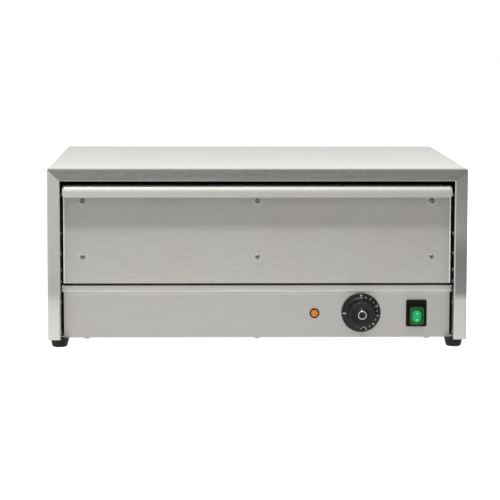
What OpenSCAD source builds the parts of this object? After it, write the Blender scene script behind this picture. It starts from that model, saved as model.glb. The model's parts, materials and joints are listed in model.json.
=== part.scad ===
// Hot towel cabinet: stainless casing with one warming drawer over a control panel.
// Frame: +X to the right seen from the front, the front faces -Y, +Z up.
// Origin: on the standing surface, below the centre of the overall box.

/* [Cabinet] */
// Width over the side walls
case_w = 530; // [510:1:560]
// Depth from the front frame to the rear panel
case_d = 400; // [390:1:440]
// Height of the casing above the feet
case_h = 217; // [210:1:225]
// Thickness of the casing sheet
sheet = 1; // [0.8:0.1:1.2]
// Width of the upright front frame members
cheek_w = 16.5; // [15:0.5:18]
// Height of the top front frame member
fascia_h = 16; // [14:0.5:18]
// Depth of the folded returns inside the front opening
return_d = 24; // [23:0.5:26]
// Outer radius of the sheet bends
bend_r = 2; // [1.5:0.1:3]

/* [Drawer] */
// Gap between the drawer front and the frame on each side
side_gap = 3; // [2.5:0.1:4]
// Gap above the drawer front
top_gap = 5.4; // [4.5:0.1:6]
// Gap between the drawer front and the rail below it
low_gap = 2.9; // [2:0.1:3.5]
// Set-back of the drawer face behind the front frame
face_in = 15; // [14:0.5:16]
// Depth of the folded lip of the pull
pull_h = 14.8; // [12:0.1:16]
// Rounding over the pull
pull_r = 6; // [4:0.5:6]
// Height of the drawer tub above its floor
tub_h = 104; // [103.5:0.5:105]
// Length of the telescopic slides
slide_len = 340; // [332:1:342]
// Travel of the drawer
travel = 300; // [240:5:300]

/* [Control panel] */
// Height of the control panel
panel_h = 58.5; // [56:0.5:60]
// Set-back of the control panel behind the front frame
panel_in = 20; // [19:0.5:21]
// Height of the rail between the drawer and the panel
rail_h = 8.6; // [8:0.1:9]
// Set-back of the rail behind the front frame
rail_in = 17.5; // [17:0.1:18]
// Position of the thermostat knob from the centre line
knob_x = 132.4; // [110:1:150]
// Diameter of the knob skirt
knob_d = 50; // [44:1:50]
// Diameter of the knob grip
grip_d = 34.6; // [30:0.2:36]
// Length of the knob in front of the panel
knob_len = 24; // [22.5:0.5:26]
// Position of the power switch from the centre line
switch_x = 203.2; // [195:0.1:206]
// Position of the pilot lamp from the centre line
lamp_x = 73.1; // [50:0.1:80]

/* [Feet and cable entry] */
// Height of the rubber feet
foot_h = 11; // [9:0.5:14]
// Diameter of a foot where it meets the casing
foot_d = 24; // [22:0.5:24]
// Diameter of a foot at the floor
foot_tip_d = 19.4; // [17:0.2:20]
// Position of the cable gland from the centre line
gland_x = 190; // [150:1:200]
// Bore of the cable gland
gland_bore = 9; // [7:0.5:9]

/* [Hidden] */

gland_proud = 14;
knob_proud = knob_len - panel_in;
yf = -(case_d + gland_proud - knob_proud) / 2;   // plane of the front frame
yb = yf + case_d;                                 // outer face of the rear panel
xo = case_w / 2;                                  // outer face of a side wall
xi = xo - cheek_w;                                // inner edge of a cheek
zb = foot_h;                                      // bottom of the casing
zt = foot_h + case_h;                             // top of the casing
xd = xi - side_gap;                               // half width of the drawer front
z_rail = zb + panel_h;
z_front = z_rail + rail_h + low_gap;              // bottom of the drawer front
z_open = zt - fascia_h;                           // top of the front opening
z_top = z_open - top_gap;                         // top of the drawer front
yd = yf + face_in;                                // outer face of the drawer front
yp = yf + panel_in;                               // outer face of the control panel
yr = yf + rail_in;                                // outer face of the rail
t = sheet;

xl = xi - 5.5;                                    // inner face of the liner wall
lt = 0.8;                                         // liner sheet
zl = z_rail + 5;                                  // upper face level of the liner floor
zlt = zt - 20;                                    // inner face of the liner roof
yl = yf + return_d + 3;                           // front edge of the liner
ylb = yb - 25;                                    // inner face of the liner back
xt = xl - 12.7;                                   // outer face of the drawer tub side
zs = z_front + 50;                                // centre line of the slides
ys = yl + 2;                                      // front end of the slides
z_floor = z_front + 3.5;                          // underside of the tub floor
ytb = ylb - 11;                                   // outer face of the tub back
zc = zb + 30.8;                                   // height of switch and lamp
zw = zc - 2.2;                                    // height of the rocker, low in its bezel
zk = zb + 31.75;                                   // height of the knob axis
zg = zb + 29;                                     // height of the cable gland
zh = zl - 9.5;                                    // plane of the heating element
xf = xo - 14;                                     // feet, from the centre line
yff = yf + 20;                                    // front feet
yfr = yb - 30;                                    // rear feet
screw_x = [-(xt - 9.3), 0, xt - 9.3];
screw_z = [z_front + 34, z_front + 104.2];
rivet_z = [8, 46.5, 73, 87.5, 108.5, 134, 183.5];         // rivets above the casing bottom

// ---------- helpers ----------
module bar(x0, x1, y0, y1, z0, z1)
  translate([x0, y0, z0]) cube([x1 - x0, y1 - y0, z1 - z0]);
module both() { children(); mirror([1, 0, 0]) children(); }
module side(s) { if (s > 0) children(); else mirror([1, 0, 0]) children(); }
module ycyl(x, z, y0, y1, r, f = 32)
  translate([x, y0, z]) rotate([-90, 0, 0]) cylinder(h = y1 - y0, r = r, $fn = f);
module zcyl(x, y, z0, z1, r, f = 32)
  translate([x, y, z0]) cylinder(h = z1 - z0, r = r, $fn = f);
module xcyl(y, z, x0, x1, r, f = 32)
  translate([x0, y, z]) rotate([0, 90, 0]) cylinder(h = x1 - x0, r = r, $fn = f);
// section drawn in the YZ plane, extruded along X
module along_x(x0, x1)
  translate([x0, 0, 0]) rotate([90, 0, 90]) linear_extrude(x1 - x0) children();
// section drawn in the XZ plane, extruded along Y
module along_y(y0, y1)
  translate([0, y1, 0]) rotate([90, 0, 0]) linear_extrude(y1 - y0) children();
function arc(cx, cy, r, a0, a1, n = 6) =
  [for (i = [0:n]) let (a = a0 + (a1 - a0) * i / n) [cx + r * cos(a), cy + r * sin(a)]];
// pan head with a cross recess, head towards -Z, shank towards +Z, seat at z = 0
module pan_screw(hd, hh, sd, len) {
  difference() {
    union() {
      rotate_extrude($fn = 40) polygon(concat([[0, 0], [hd / 2, 0]],
        [for (a = [0:15:75]) [hd / 2 * (0.62 + 0.38 * cos(a)), -hh * (0.35 + 0.65 * sin(a))]],
        [[hd * 0.31, -hh], [0, -hh]]));
      translate([0, 0, -0.2]) cylinder(h = len + 0.2, d = sd, $fn = 24);
    }
    translate([-hd * 0.28, -hd * 0.06, -hh - 1]) cube([hd * 0.56, hd * 0.12, 1 + hh * 0.55]);
    translate([-hd * 0.06, -hd * 0.28, -hh - 1]) cube([hd * 0.12, hd * 0.56, 1 + hh * 0.55]);
  }
}
module y_screw(x, z, y, hd, hh, sd, len)
  translate([x, y, z]) rotate([-90, 0, 0]) pan_screw(hd, hh, sd, len);
// tube of radius r along the points p
function unit(v) = v / norm(v);
function dirn(p, i) = unit(p[min(i + 1, len(p) - 1)] - p[max(i - 1, 0)]);
function nrm(p, i) = i == 0
  ? unit(cross(dirn(p, 0), abs(dirn(p, 0)[2]) < 0.9 ? [0, 0, 1] : [1, 0, 0]))
  : let (n = nrm(p, i - 1), d = dirn(p, i)) unit(n - (n * d) * d);
module tube_along(p, r, s = 8) {
  n = len(p);
  pts = [for (i = [0:n - 1]) let (d = dirn(p, i), a = nrm(p, i), b = cross(d, a))
    for (k = [0:s - 1]) p[i] + r * cos(360 * k / s) * a + r * sin(360 * k / s) * b];
  polyhedron(pts, concat([[for (k = [0:s - 1]) k]],
    [for (i = [0:n - 2]) for (k = [0:s - 1])
      [i * s + k, (i + 1) * s + k, (i + 1) * s + (k + 1) % s, i * s + (k + 1) % s]],
    [[for (k = [s - 1:-1:0]) (n - 1) * s + k]]), convexity = 4);
}
// smooth curve through the points p, m steps a span
function cr(a, b, c, d, u) = 0.5 * (2 * b + (c - a) * u + (2 * a - 5 * b + 4 * c - d) * u * u
  + (3 * b - a - 3 * c + d) * u * u * u);
function smooth(p, m = 4) = concat([for (i = [0:len(p) - 2]) for (j = [0:m - 1])
  cr(p[max(i - 1, 0)], p[i], p[i + 1], p[min(i + 2, len(p) - 1)], j / m)], [p[len(p) - 1]]);

// ---------- casing ----------
// folded wrap: roof, side walls, bottom flanges, mitred front frame and its inner returns
module outer_casing() color([0.78, 0.78, 0.77]) difference() {
  union() {
    // roof and side walls, with the bottom flanges
    along_y(yf + t, yb - t) polygon(concat(
      [[-(xo - 30), zb], [-xo, zb]], arc(-xo + bend_r, zt - bend_r, bend_r, 180, 90),
      arc(xo - bend_r, zt - bend_r, bend_r, 90, 0), [[xo, zb], [xo - 30, zb],
      [xo - 30, zb + t], [xo - t, zb + t]],
      arc(xo - bend_r, zt - bend_r, bend_r - t, 0, 90),
      arc(-xo + bend_r, zt - bend_r, bend_r - t, 90, 180),
      [[-xo + t, zb + t], [-(xo - 30), zb + t]]));
    // front frame
    along_y(yf, yf + t) polygon(concat(
      [[-xi, zb], [-xo, zb]], arc(-xo + bend_r, zt - bend_r, bend_r, 180, 90),
      arc(xo - bend_r, zt - bend_r, bend_r, 90, 0),
      [[xo, zb], [xi, zb], [xi, z_open], [-xi, z_open]]));
    // returns round the opening
    both() bar(xi, xi + t, yf, yf + return_d, zb, z_open + t);
    bar(-xi - t, xi + t, yf, yf + return_d, z_open, z_open + t);
    // rear flanges behind the rear panel
    both() bar(xo - 13, xo - t / 2, yb - 2 * t, yb - t, zb + 6, zt - t / 2);
    bar(-xo + t / 2, xo - t / 2, yb - 2 * t, yb - t, zt - 13, zt - t / 2);
  }
  // the bottom flange stops behind the control panel
  both() bar(xo - 31, xi, yf + t / 2, yf + panel_in + 2, zb - 1, zb + t + 1);
  both() for (z = rivet_z) xcyl(yf + 12, zb + z, xi - 1, xi + t + 1, 1.7, 16);
  for (x = [-225, -86, 86, 225]) zcyl(x, yf + 12, z_open - 1, z_open + t + 1, 1.7, 16);
  for (x = [-xf, xf], y = [yff, yfr]) zcyl(x, y, zb - 1, zb + t + 3, 2.7, 20);
  for (x = rear_x, z = rear_z) ycyl(x, z, yb - 2 * t - 1, yb - t + 1, 1.9, 20);
}
rear_x = [-(xo - 7), xo - 7];
rear_z = [zb + 25, zb + case_h / 2, zt - 25];

// angle riveted behind each inner return
module stiffener() difference() {
  union() {
    bar(xi + t, xi + t + 1.2, yf + t, yf + return_d - 2, zb + 3, z_open - 2);
    bar(xi + t, xi + t + 11, yf + t, yf + t + 1.2, zb + 3, z_open - 2);
  }
  for (z = rivet_z) xcyl(yf + 12, zb + z, xi, xi + t + 3, 1.7, 16);
}
module front_stiffener_left() color([0.62, 0.63, 0.64]) side(-1) stiffener();
module front_stiffener_right() color([0.62, 0.63, 0.64]) side(1) stiffener();

module rivet() { // head towards -Z, seat at z = 0
  rotate_extrude($fn = 24) polygon([[0, 0], [2.5, 0], [2.4, -0.4], [2, -0.8], [1.3, -1.1], [0, -1.2]]);
  translate([0, 0, -0.1]) cylinder(h = 3.1, r = 1.5, $fn = 20);
}
module frame_rivets() color([0.75, 0.75, 0.74]) {
  both() for (z = rivet_z) translate([xi, yf + 12, zb + z]) rotate([0, 90, 0]) rivet();
  for (x = [-225, -86, 86, 225]) translate([x, yf + 12, z_open]) rivet();
}

module base_plate() color([0.66, 0.67, 0.68]) difference() {
  union() {
    bar(-xo + t + 0.3, xo - t - 0.3, yf + return_d + 0.5, yb - 2 * t - 0.3, zb + t, zb + t + 1.2);
    bar(-xo + 32, xo - 32, yb - 2 * t - 1.5, yb - 2 * t - 0.3, zb + t, zb + t + 11);
  }
  for (x = [-xf, xf]) zcyl(x, yfr, zb, zb + 4, 2.7, 20);
  for (x = [-217, 0, 217]) zcyl(x, yp + 8, zb, zb + 4, 2.2, 20);
  zcyl(-150, yb - 60, zb, zb + 4, 2.2, 20);
  // air slots under the controls
  for (i = [-4:4]) bar(40 * i - 12, 40 * i + 12, yf + 150, yf + 154, zb, zb + 4);
  for (i = [-4:4]) bar(40 * i - 12, 40 * i + 12, yf + 170, yf + 174, zb, zb + 4);
}
module base_screws() color([0.72, 0.72, 0.7])
  for (x = [-217, 0, 217]) translate([x, yp + 8, zb]) pan_screw(8, 2.4, 4, 8);

module rear_panel() color([0.7, 0.71, 0.71]) difference() {
  bar(-xo + 0.5, xo - 0.5, yb - t, yb, zb + 0.5, zt - 0.5);
  for (x = rear_x, z = rear_z) ycyl(x, z, yb - t - 1, yb + 1, 1.9, 20);
  ycyl(gland_x, zg, yb - t - 1, yb + 1, 10.2, 40);
  // vents for the control space
  for (i = [-5:3], k = [0:1]) bar(34 * i - 12, 34 * i + 12, yb - t - 1, yb + 1, zb + 22 + 12 * k, zb + 26 + 12 * k);
  // vents at the top
  for (i = [-5:5]) bar(36 * i - 13, 36 * i + 13, yb - t - 1, yb + 1, zt - 34, zt - 30);
}
module rear_panel_screws() color([0.72, 0.72, 0.7])
  for (x = rear_x, z = rear_z) translate([x, yb, z]) rotate([90, 0, 0]) pan_screw(7, 2.2, 3.5, 5.5);

// ---------- heated chamber ----------
module chamber_liner() color([0.74, 0.75, 0.76]) difference() {
  union() {
    bar(-xl - lt, xl + lt, yl, ylb + lt, zl - lt, zl);
    bar(-xl - lt, xl + lt, yl, ylb + lt, zlt, zlt + lt);
    both() bar(xl, xl + lt, yl, ylb + lt, zl - lt, zlt + lt);
    bar(-xl - lt, xl + lt, ylb, ylb + lt, zl - lt, zlt + lt);
    both() bar(xl, xi - 0.3, yl, yl + lt, zl - lt, zlt + lt);
  }
  for (x = [-135:45:135], y = [0:3]) bar(x - 16, x + 16, yl + 85 + 50 * y, yl + 91 + 50 * y, zl - 3, zl + 1);
  both() for (y = [30, slide_len / 2, slide_len - 30]) xcyl(ys + y, zs, xl - 1, xl + lt + 1, 2.2, 20);
}
module insulation_wrap() color([0.36, 0.34, 0.28]) difference() {
  // three cut slabs: one over the roof, one down each side
  union() {
    bar(-xo + t + 0.4, xo - t - 0.4, yl + 2, yb - 6, zlt + lt + 0.3, zt - t - 0.3);
    both() bar(xl + lt + 0.3, xo - t - 0.4, yl + 2, yb - 6, zl, zlt + lt + 0.1);
  }
  both() for (y = [30, slide_len / 2, slide_len - 30]) xcyl(ys + y, zs, xl - 1, xl + lt + 4, 5, 20);
}
module insulation_rear() color([0.36, 0.34, 0.28])
  bar(-xl, xl, ylb + lt + 0.3, yb - 6, zl, zlt);

// ---------- front rail and control panel ----------
module front_rail() color([0.75, 0.74, 0.72]) along_x(-xi + 0.3, xi - 0.3) {
  r = 1.6;
  polygon(concat([[yr + 16, z_rail], [yr + r, z_rail]], arc(yr + r, z_rail + r, r, 270, 180, 5),
    arc(yr + r, z_rail + rail_h - r, r, 180, 90, 5), [[yr + 9, z_rail + rail_h],
    [yr + 9, z_rail + rail_h - t], [yr + r, z_rail + rail_h - t]],
    arc(yr + r, z_rail + rail_h - r, r - t, 90, 180, 4), arc(yr + r, z_rail + r, r - t, 180, 270, 4),
    [[yr + 16, z_rail + t]]));
}

module control_panel() color([0.72, 0.71, 0.68]) difference() {
  union() {
    bar(-xd, xd, yp, yp + t, zb, z_rail - 0.3);
    bar(-xo + 31, xo - 31, yp, yp + 18, zb, zb + t);
    bar(-xd, xd, yp, yp + 12, z_rail - 0.3 - t, z_rail - 0.3);
    both() bar(xd - t, xd, yp, yp + 12, zb + t + 1.6, z_rail - 0.3);
  }
  ycyl(knob_x, zk, yp - 1, yp + t + 1, 4.2, 32);
  for (s = [-1, 1]) ycyl(knob_x + 14 * s, zk, yp - 1, yp + t + 1, 1.8, 20);
  ycyl(lamp_x, zc, yp - 1, yp + t + 1, 5.2, 32);
  bar(switch_x - 11, switch_x + 11, yp - 1, yp + t + 1, zc - 15, zc + 15);
  for (x = [-217, 0, 217]) zcyl(x, yp + 8, zb - 1, zb + t + 1, 2.2, 20);
}

// ---------- feet ----------
module foot() difference() {
  rotate_extrude($fn = 48) polygon(concat([[0, 0], [foot_tip_d / 2 - 2, 0]],
    arc(foot_tip_d / 2 - 2, 2, 2, 270, 348, 5), [[foot_d / 2, foot_h - 1], [foot_d / 2, foot_h], [0, foot_h]]));
  translate([0, 0, -1]) cylinder(h = 5, r = 5.5, $fn = 32);
  translate([0, 0, -1]) cylinder(h = foot_h + 2, r = 2.7, $fn = 24);
}
module foot_front_left() color([0.05, 0.05, 0.05]) translate([-xf, yff, 0]) foot();
module foot_front_right() color([0.05, 0.05, 0.05]) translate([xf, yff, 0]) foot();
module foot_rear_left() color([0.05, 0.05, 0.05]) translate([-xf, yfr, 0]) foot();
module foot_rear_right() color([0.05, 0.05, 0.05]) translate([xf, yfr, 0]) foot();
module foot_screws() color([0.7, 0.7, 0.69])
  for (x = [-xf, xf], y = [yff, yfr]) translate([x, y, 4]) pan_screw(8.4, 2.4, 4.8, foot_h - 1.4);

// ---------- telescopic slides ----------
// channel of height 2h, from depth u0 to u1 out of the liner wall, web at the wall side
module channel(y0, y1, u0, u1, h, g = 1.2) {
  bar(xl - u0 - g, xl - u0, y0, y1, zs - h, zs + h);
  bar(xl - u1, xl - u0, y0, y1, zs + h - g, zs + h);
  bar(xl - u1, xl - u0, y0, y1, zs - h, zs - h + g);
}
module slide_outer() {
  difference() {
    channel(ys, ys + slide_len, 0, 11, 22.5);
    for (y = [30, slide_len / 2, slide_len - 30]) xcyl(ys + y, zs, xl - 5, xl + 1, 2.2, 20);
  }
}
module slide_middle() channel(ys, ys + slide_len - 6, 2.8, 11, 17.3);
module slide_inner() difference() {
  union() {
    bar(xl - 12.4, xl - 11.3, ys - 6, ys + slide_len - 12, zs - 12.1, zs + 12.1);
    for (s = [-1, 1]) bar(xl - 12.4, xl - 5.2, ys - 6, ys + slide_len - 12,
      zs + (s > 0 ? 10.9 : -12.1), zs + (s > 0 ? 12.1 : -10.9));
  }
  for (y = [30, slide_len - 60]) xcyl(ys + y, zs, xl - 14, xl - 10, 2.2, 20);
}
module ball_cages() {
  for (s = [-1, 1]) {
    // between the fixed and the middle member, at the rear
    bar(xl - 7.3, xl - 6.5, ys + 215, ys + 330, zs + s * 19.3 - 0.8, zs + s * 19.3 + 0.8);
    for (i = [0:9]) translate([xl - 6.9, ys + 221 + 11.5 * i, zs + s * 19.3]) sphere(r = 1.55, $fn = 20);
    // between the middle and the drawer member, at the front
    bar(xl - 8.5, xl - 7.7, ys + 10, ys + 120, zs + s * 14.1 - 0.8, zs + s * 14.1 + 0.8);
    for (i = [0:9]) translate([xl - 8.1, ys + 15 + 11 * i, zs + s * 14.1]) sphere(r = 1.55, $fn = 20);
  }
}
module slide_outer_left() color([0.68, 0.69, 0.7]) side(-1) slide_outer();
module slide_outer_right() color([0.68, 0.69, 0.7]) side(1) slide_outer();
module slide_middle_left() color([0.64, 0.65, 0.66]) side(-1) slide_middle();
module slide_middle_right() color([0.64, 0.65, 0.66]) side(1) slide_middle();
module slide_inner_left() color([0.7, 0.71, 0.72]) side(-1) slide_inner();
module slide_inner_right() color([0.7, 0.71, 0.72]) side(1) slide_inner();
module slide_rivets() color([0.62, 0.62, 0.6]) both() for (y = [30, slide_len / 2, slide_len - 30]) {
  xcyl(ys + y, zs, xl - 2.4, xl - 1.25, 3.5, 24);
  xcyl(ys + y, zs, xl - 2.4, xl + lt + 1.6, 2.05, 24);
  xcyl(ys + y, zs, xl + lt + 0.05, xl + lt + 1.6, 3.3, 24);
}
module tub_rivets() color([0.62, 0.62, 0.6]) both() for (y = [30, slide_len - 60]) {
  xcyl(ys + y, zs, xl - 11.25, xl - 10.1, 3.5, 24);
  xcyl(ys + y, zs, xt - t - 1.4, xl - 10.1, 2.05, 24);
  xcyl(ys + y, zs, xt - t - 1.4, xt - t - 0.05, 3.3, 24);
}
module ball_cages_left() color([0.5, 0.5, 0.48]) side(-1) ball_cages();
module ball_cages_right() color([0.5, 0.5, 0.48]) side(1) ball_cages();

// ---------- drawer ----------
// five panels, spot welded
module drawer_box() color([0.76, 0.77, 0.78]) difference() {
  e = 0.05;                                       // joint between the welded panels
  union() {
    // floor
    bar(-xt, xt, yd + t, ytb, z_floor, z_floor + t);
    // sides with rims
    both() {
      bar(xt - t, xt, yd + 2 * t + e, ytb - t - e, z_floor + t + e, z_floor + tub_h);
      bar(xt - 6, xt, yd + 2 * t + e, ytb - 6 - e, z_floor + tub_h - t, z_floor + tub_h);
    }
    // back with rim
    bar(-xt, xt, ytb - t, ytb, z_floor + t + e, z_floor + tub_h);
    bar(-xt + t + e, xt - t - e, ytb - 6, ytb, z_floor + tub_h - t, z_floor + tub_h);
    // front, behind the drawer face
    bar(-xt, xt, yd + t, yd + 2 * t, z_floor + t + e, z_floor + tub_h);
  }
  for (x = [-4:4], y = [0:4]) bar(45 * x - 15, 45 * x + 15, yf + 80 + 50 * y, yf + 86 + 50 * y, z_floor - 1, z_floor + t + 1);
  for (x = screw_x, z = screw_z) ycyl(x, z, yd, yd + 3, 2.1, 20);
  both() for (y = [30, slide_len - 60]) xcyl(ys + y, zs, xt - 3, xt + 1, 2.2, 20);
}

module drawer_front() color([0.72, 0.71, 0.69]) difference() {
  union() {
    // face and hooked pull, one folded section
    along_x(-xd, xd) polygon(concat(
      [[yd, z_front + 1.2]], [[yd, z_top - t], [yf + pull_r, z_top - t]],
      arc(yf + pull_r, z_top - pull_r, pull_r - t, 90, 180, 8),
      [[yf + t, z_top - pull_h], [yf, z_top - pull_h]],
      arc(yf + pull_r, z_top - pull_r, pull_r, 180, 90, 8),
      [[yd + t, z_top], [yd + t, z_front + 1.2]]));
    // hemmed sides and bottom
    both() bar(xd - t, xd, yd + t / 2, yd + 10, z_front + 0.6, z_top - 4);
    bar(-xd, xd, yd + 0.4, yd + 10, z_front, z_front + 1.4);
    // ends of the pull
    both() along_x(xd - t, xd) polygon(concat([[yd + 0.5, z_top - t / 2]],
      arc(yf + pull_r, z_top - pull_r, pull_r - t / 2, 90, 180, 8),
      [[yf + t / 2, z_top - pull_h + 1], [yd + 0.5, z_top - pull_h + 1]]));
  }
  for (x = screw_x, z = screw_z) ycyl(x, z, yd - 1, yd + t + 1, 2.1, 20);
}
module drawer_front_screws() color([0.78, 0.78, 0.76])
  for (x = screw_x, z = screw_z) y_screw(x, z, yd, 7.3, 2.6, 3.6, 7);
module drawer_front_nuts() color([0.7, 0.7, 0.68])
  for (x = screw_x, z = screw_z) difference() {
    ycyl(x, z, yd + 2 * t, yd + 2 * t + 3, 4, 6);
    ycyl(x, z, yd, yd + 2 * t + 4, 1.9, 24);
  }

// ---------- heating ----------
h_r = 3.3;
h_x = 165;
h_y = yl + 100;
function bend(cx, cy, r, a0, a1) = [for (i = [0:8]) let (a = a0 + (a1 - a0) * i / 8) [cx + r * cos(a), cy + r * sin(a), zh]];
heat_path = concat([[h_x + 20, h_y, zh], [h_x, h_y, zh], [0, h_y, zh], [-h_x, h_y, zh]],
  bend(-h_x, h_y + 30, 30, 270, 90), [[0, h_y + 60, zh], [h_x - 30, h_y + 60, zh]],
  bend(h_x - 30, h_y + 90, 30, -90, 90), [[0, h_y + 120, zh], [-h_x, h_y + 120, zh]],
  bend(-h_x, h_y + 150, 30, 270, 90), [[0, h_y + 180, zh], [h_x, h_y + 180, zh], [h_x + 20, h_y + 180, zh]]);
module heating_element() color([0.42, 0.4, 0.38]) {
  tube_along(heat_path, h_r, 12);
  for (y = [h_y, h_y + 180]) xcyl(y, zh, h_x + 20.3, h_x + 32, 1.8, 20);
}
module heater_brackets() color([0.66, 0.67, 0.68])
  for (x = [-110, 90]) difference() {
    union() {
      bar(x - 6, x + 6, h_y - 14, h_y + 194, zh - h_r - 1.4, zh - h_r - 0.2);
      for (y = [h_y - 14, h_y + 192.8]) bar(x - 6, x + 6, y, y + 1.2, zh - h_r - 1.4, zl - lt - 2.4);
    }
  }
module heat_spreader() color([0.8, 0.81, 0.82]) difference() {
  bar(-200, 200, h_y - 25, h_y + 205, zl - lt - 2.2, zl - lt - 0.2);
  for (x = [-135:45:135], y = [1:4]) bar(x - 17, x + 17, yl + 34 + 50 * y, yl + 42 + 50 * y, zl - lt - 3, zl);
}
module thermal_cutout() color([0.2, 0.2, 0.2]) {
  zcyl(-170, yf + 60, zl - lt - 11, zl - lt - 0.2, 8, 32);
  for (s = [-1, 1]) bar(-170 + s * 5 - 0.4, -170 + s * 5 + 0.4, yf + 57, yf + 63, zl - lt - 19, zl - lt - 11);
}

// ---------- thermostat ----------
yt = yp + t;
module thermostat_body() color([0.3, 0.3, 0.31]) difference() {
  union() {
    bar(knob_x - 20, knob_x + 20, yt + 0.2, yt + 1.4, zk - 14, zk + 14);
    bar(knob_x - 17, knob_x + 17, yt + 1.4, yt + 26, zk - 17, zk + 17);
    for (s = [-1, 1], k = [-1, 1]) bar(knob_x + 10 * s - 0.4, knob_x + 10 * s + 0.4, yt + 26, yt + 34, zk + 8 * k - 3, zk + 8 * k + 3);
    for (s = [-1, 1]) y_screw(knob_x + 14 * s, zk, yp, 5.4, 0.5, 3, 3);
  }
  ycyl(knob_x, zk, yt - 1, yt + 14, 3.4, 32);
}
cap_path = smooth([[knob_x, yt + 17, zk + 17.3], [knob_x - 4, yt + 19, zk + 20.5], [knob_x - 30, yt + 28, zk + 19],
  [knob_x - 60, yt + 50, zk + 12], [knob_x - 90, yt + 70, zk + 10], [knob_x - 115, yt + 68, zk + 15], [20, yt + 68, zl - 11.6], [8, yt + 68, zl - 11]], 3);
module thermostat_capillary() color([0.72, 0.45, 0.3]) tube_along(cap_path, 0.9, 8);
module sensing_bulb() color([0.72, 0.47, 0.32]) {
  xcyl(yt + 68, zl - 11, -82, 7.6, 3.4, 28);
  for (x = [-70, -8]) difference() {
    bar(x - 4, x + 4, yt + 63, yt + 73, zl - 15.6, zl - lt - 0.2);
    xcyl(yt + 68, zl - 11, x - 5, x + 5, 3.4, 28);
  }
}
module thermostat_spindle() color([0.75, 0.75, 0.74]) difference() {
  ycyl(knob_x, zk, yp - knob_len + 7, yt + 12, 3, 32);
  bar(knob_x - 4, knob_x + 4, yp - knob_len + 6, yp - 9, zk + 2, zk + 4);
}
// fluted grip on a dished skirt
module thermostat_knob() color([0.06, 0.06, 0.065]) difference() {
  translate([knob_x, yp - 0.6, zk]) rotate([90, 0, 0]) rotate_extrude($fn = 72)
    polygon(concat([[0, 0], [knob_d / 2 - 0.6, 0], [knob_d / 2, 0.8], [knob_d / 2, 1.8], [knob_d / 2 - 0.6, 2.4],
      [grip_d / 2 + 2, 4.6], [grip_d / 2, 6]], [[grip_d / 2 - 0.8, knob_len - 3.6], [grip_d / 2 - 1.4, knob_len - 2.2],
      [grip_d / 2 - 2.8, knob_len - 1.6], [0, knob_len - 1.6]]));
  for (i = [0:17]) rotate_about(20 * i + 10)
    ycyl(knob_x, zk + grip_d / 2 + 1.1, yp - knob_len - 1, yp - 7.4, 1.9, 16);
  ycyl(knob_x, zk, yp - knob_len + 0.5, yp - knob_len + 3, 6, 36);
  difference() {
    ycyl(knob_x, zk, yp - knob_len + 6, yp + 1, 3.1, 32);
    bar(knob_x - 4, knob_x + 4, yp - knob_len + 5.9, yp - 9.2, zk + 2.1, zk + 4);
  }
  // hollow back, clear of the thermostat's fixing screws
  difference() {
    ycyl(knob_x, zk, yp - 2.4, yp + 1, knob_d / 2 - 4, 64);
    ycyl(knob_x, zk, yp - 3, yp + 2, 7, 48);
  }
}
module rotate_about(a) translate([knob_x, 0, zk]) rotate([0, a, 0]) translate([-knob_x, 0, -zk]) children();
module knob_cap() color([0.85, 0.85, 0.86])
  translate([knob_x, yp - knob_len + 3, zk]) rotate([90, 0, 0]) rotate_extrude($fn = 48)
    polygon([[0, 0.1], [5.65, 0.1], [5.65, 1.9], [5.4, 2.4], [4.6, 2.8], [3.2, 3], [0, 3]]);

// ---------- pilot lamp ----------
module pilot_lamp_bezel() color([0.1, 0.1, 0.1]) difference() {
  translate([lamp_x, yp, zc]) rotate([90, 0, 0]) rotate_extrude($fn = 40)
    polygon([[4.75, 0], [6.2, 0], [6.2, 1.2], [5.8, 1.8], [4.75, 1.8]]);
}
module pilot_lamp_lens() color([0.95, 0.55, 0.12])
  translate([lamp_x, yp, zc]) rotate([90, 0, 0]) rotate_extrude($fn = 40)
    polygon(concat([[0, -1], [4.6, -1]], [for (a = [0:15:75]) [4.6 * cos(a), 1.6 + 2 * sin(a)]], [[0, 3.6]]));
module pilot_lamp_body() color([0.15, 0.15, 0.15]) {
  ycyl(lamp_x, zc, yp + 1.2, yp + 22, 4.9, 32);
  ycyl(lamp_x, zc, yp + t + 0.2, yp + t + 3, 7, 6);
  for (s = [-1, 1]) bar(lamp_x + 2.4 * s - 0.4, lamp_x + 2.4 * s + 0.4, yp + 22, yp + 28, zc - 1.4, zc + 1.4);
}

// ---------- power switch ----------
sw_w = 26.3;
sw_h = 34.3;
module switch_housing() color([0.06, 0.06, 0.06]) {
  // bezel with broken edges
  difference() {
    along_y(yp - 2.4, yp) polygon(concat(
      arc(switch_x + sw_w / 2 - 2, zc + sw_h / 2 - 2, 2, 0, 90, 4), arc(switch_x - sw_w / 2 + 2, zc + sw_h / 2 - 2, 2, 90, 180, 4),
      arc(switch_x - sw_w / 2 + 2, zc - sw_h / 2 + 2, 2, 180, 270, 4), arc(switch_x + sw_w / 2 - 2, zc - sw_h / 2 + 2, 2, 270, 360, 4)));
    bar(switch_x - 10, switch_x + 10, yp - 3, yp + 1, zw - 12.2, zw + 12.2);
  }
  difference() {
    bar(switch_x - 10.8, switch_x + 10.8, yp, yp + 12, zc - 14.8, zc + 14.8);
    bar(switch_x - 10, switch_x + 10, yp - 1, yp + 13, zw - 12.2, zw + 12.2);
  }
  bar(switch_x - 10.8, switch_x + 10.8, yp + 12, yp + 24, zc - 14.8, zc + 14.8);
  for (z = [-9, 0, 9]) bar(switch_x - 3.2, switch_x + 3.2, yp + 24, yp + 32, zc + z - 0.4, zc + z + 0.4);
}
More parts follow.
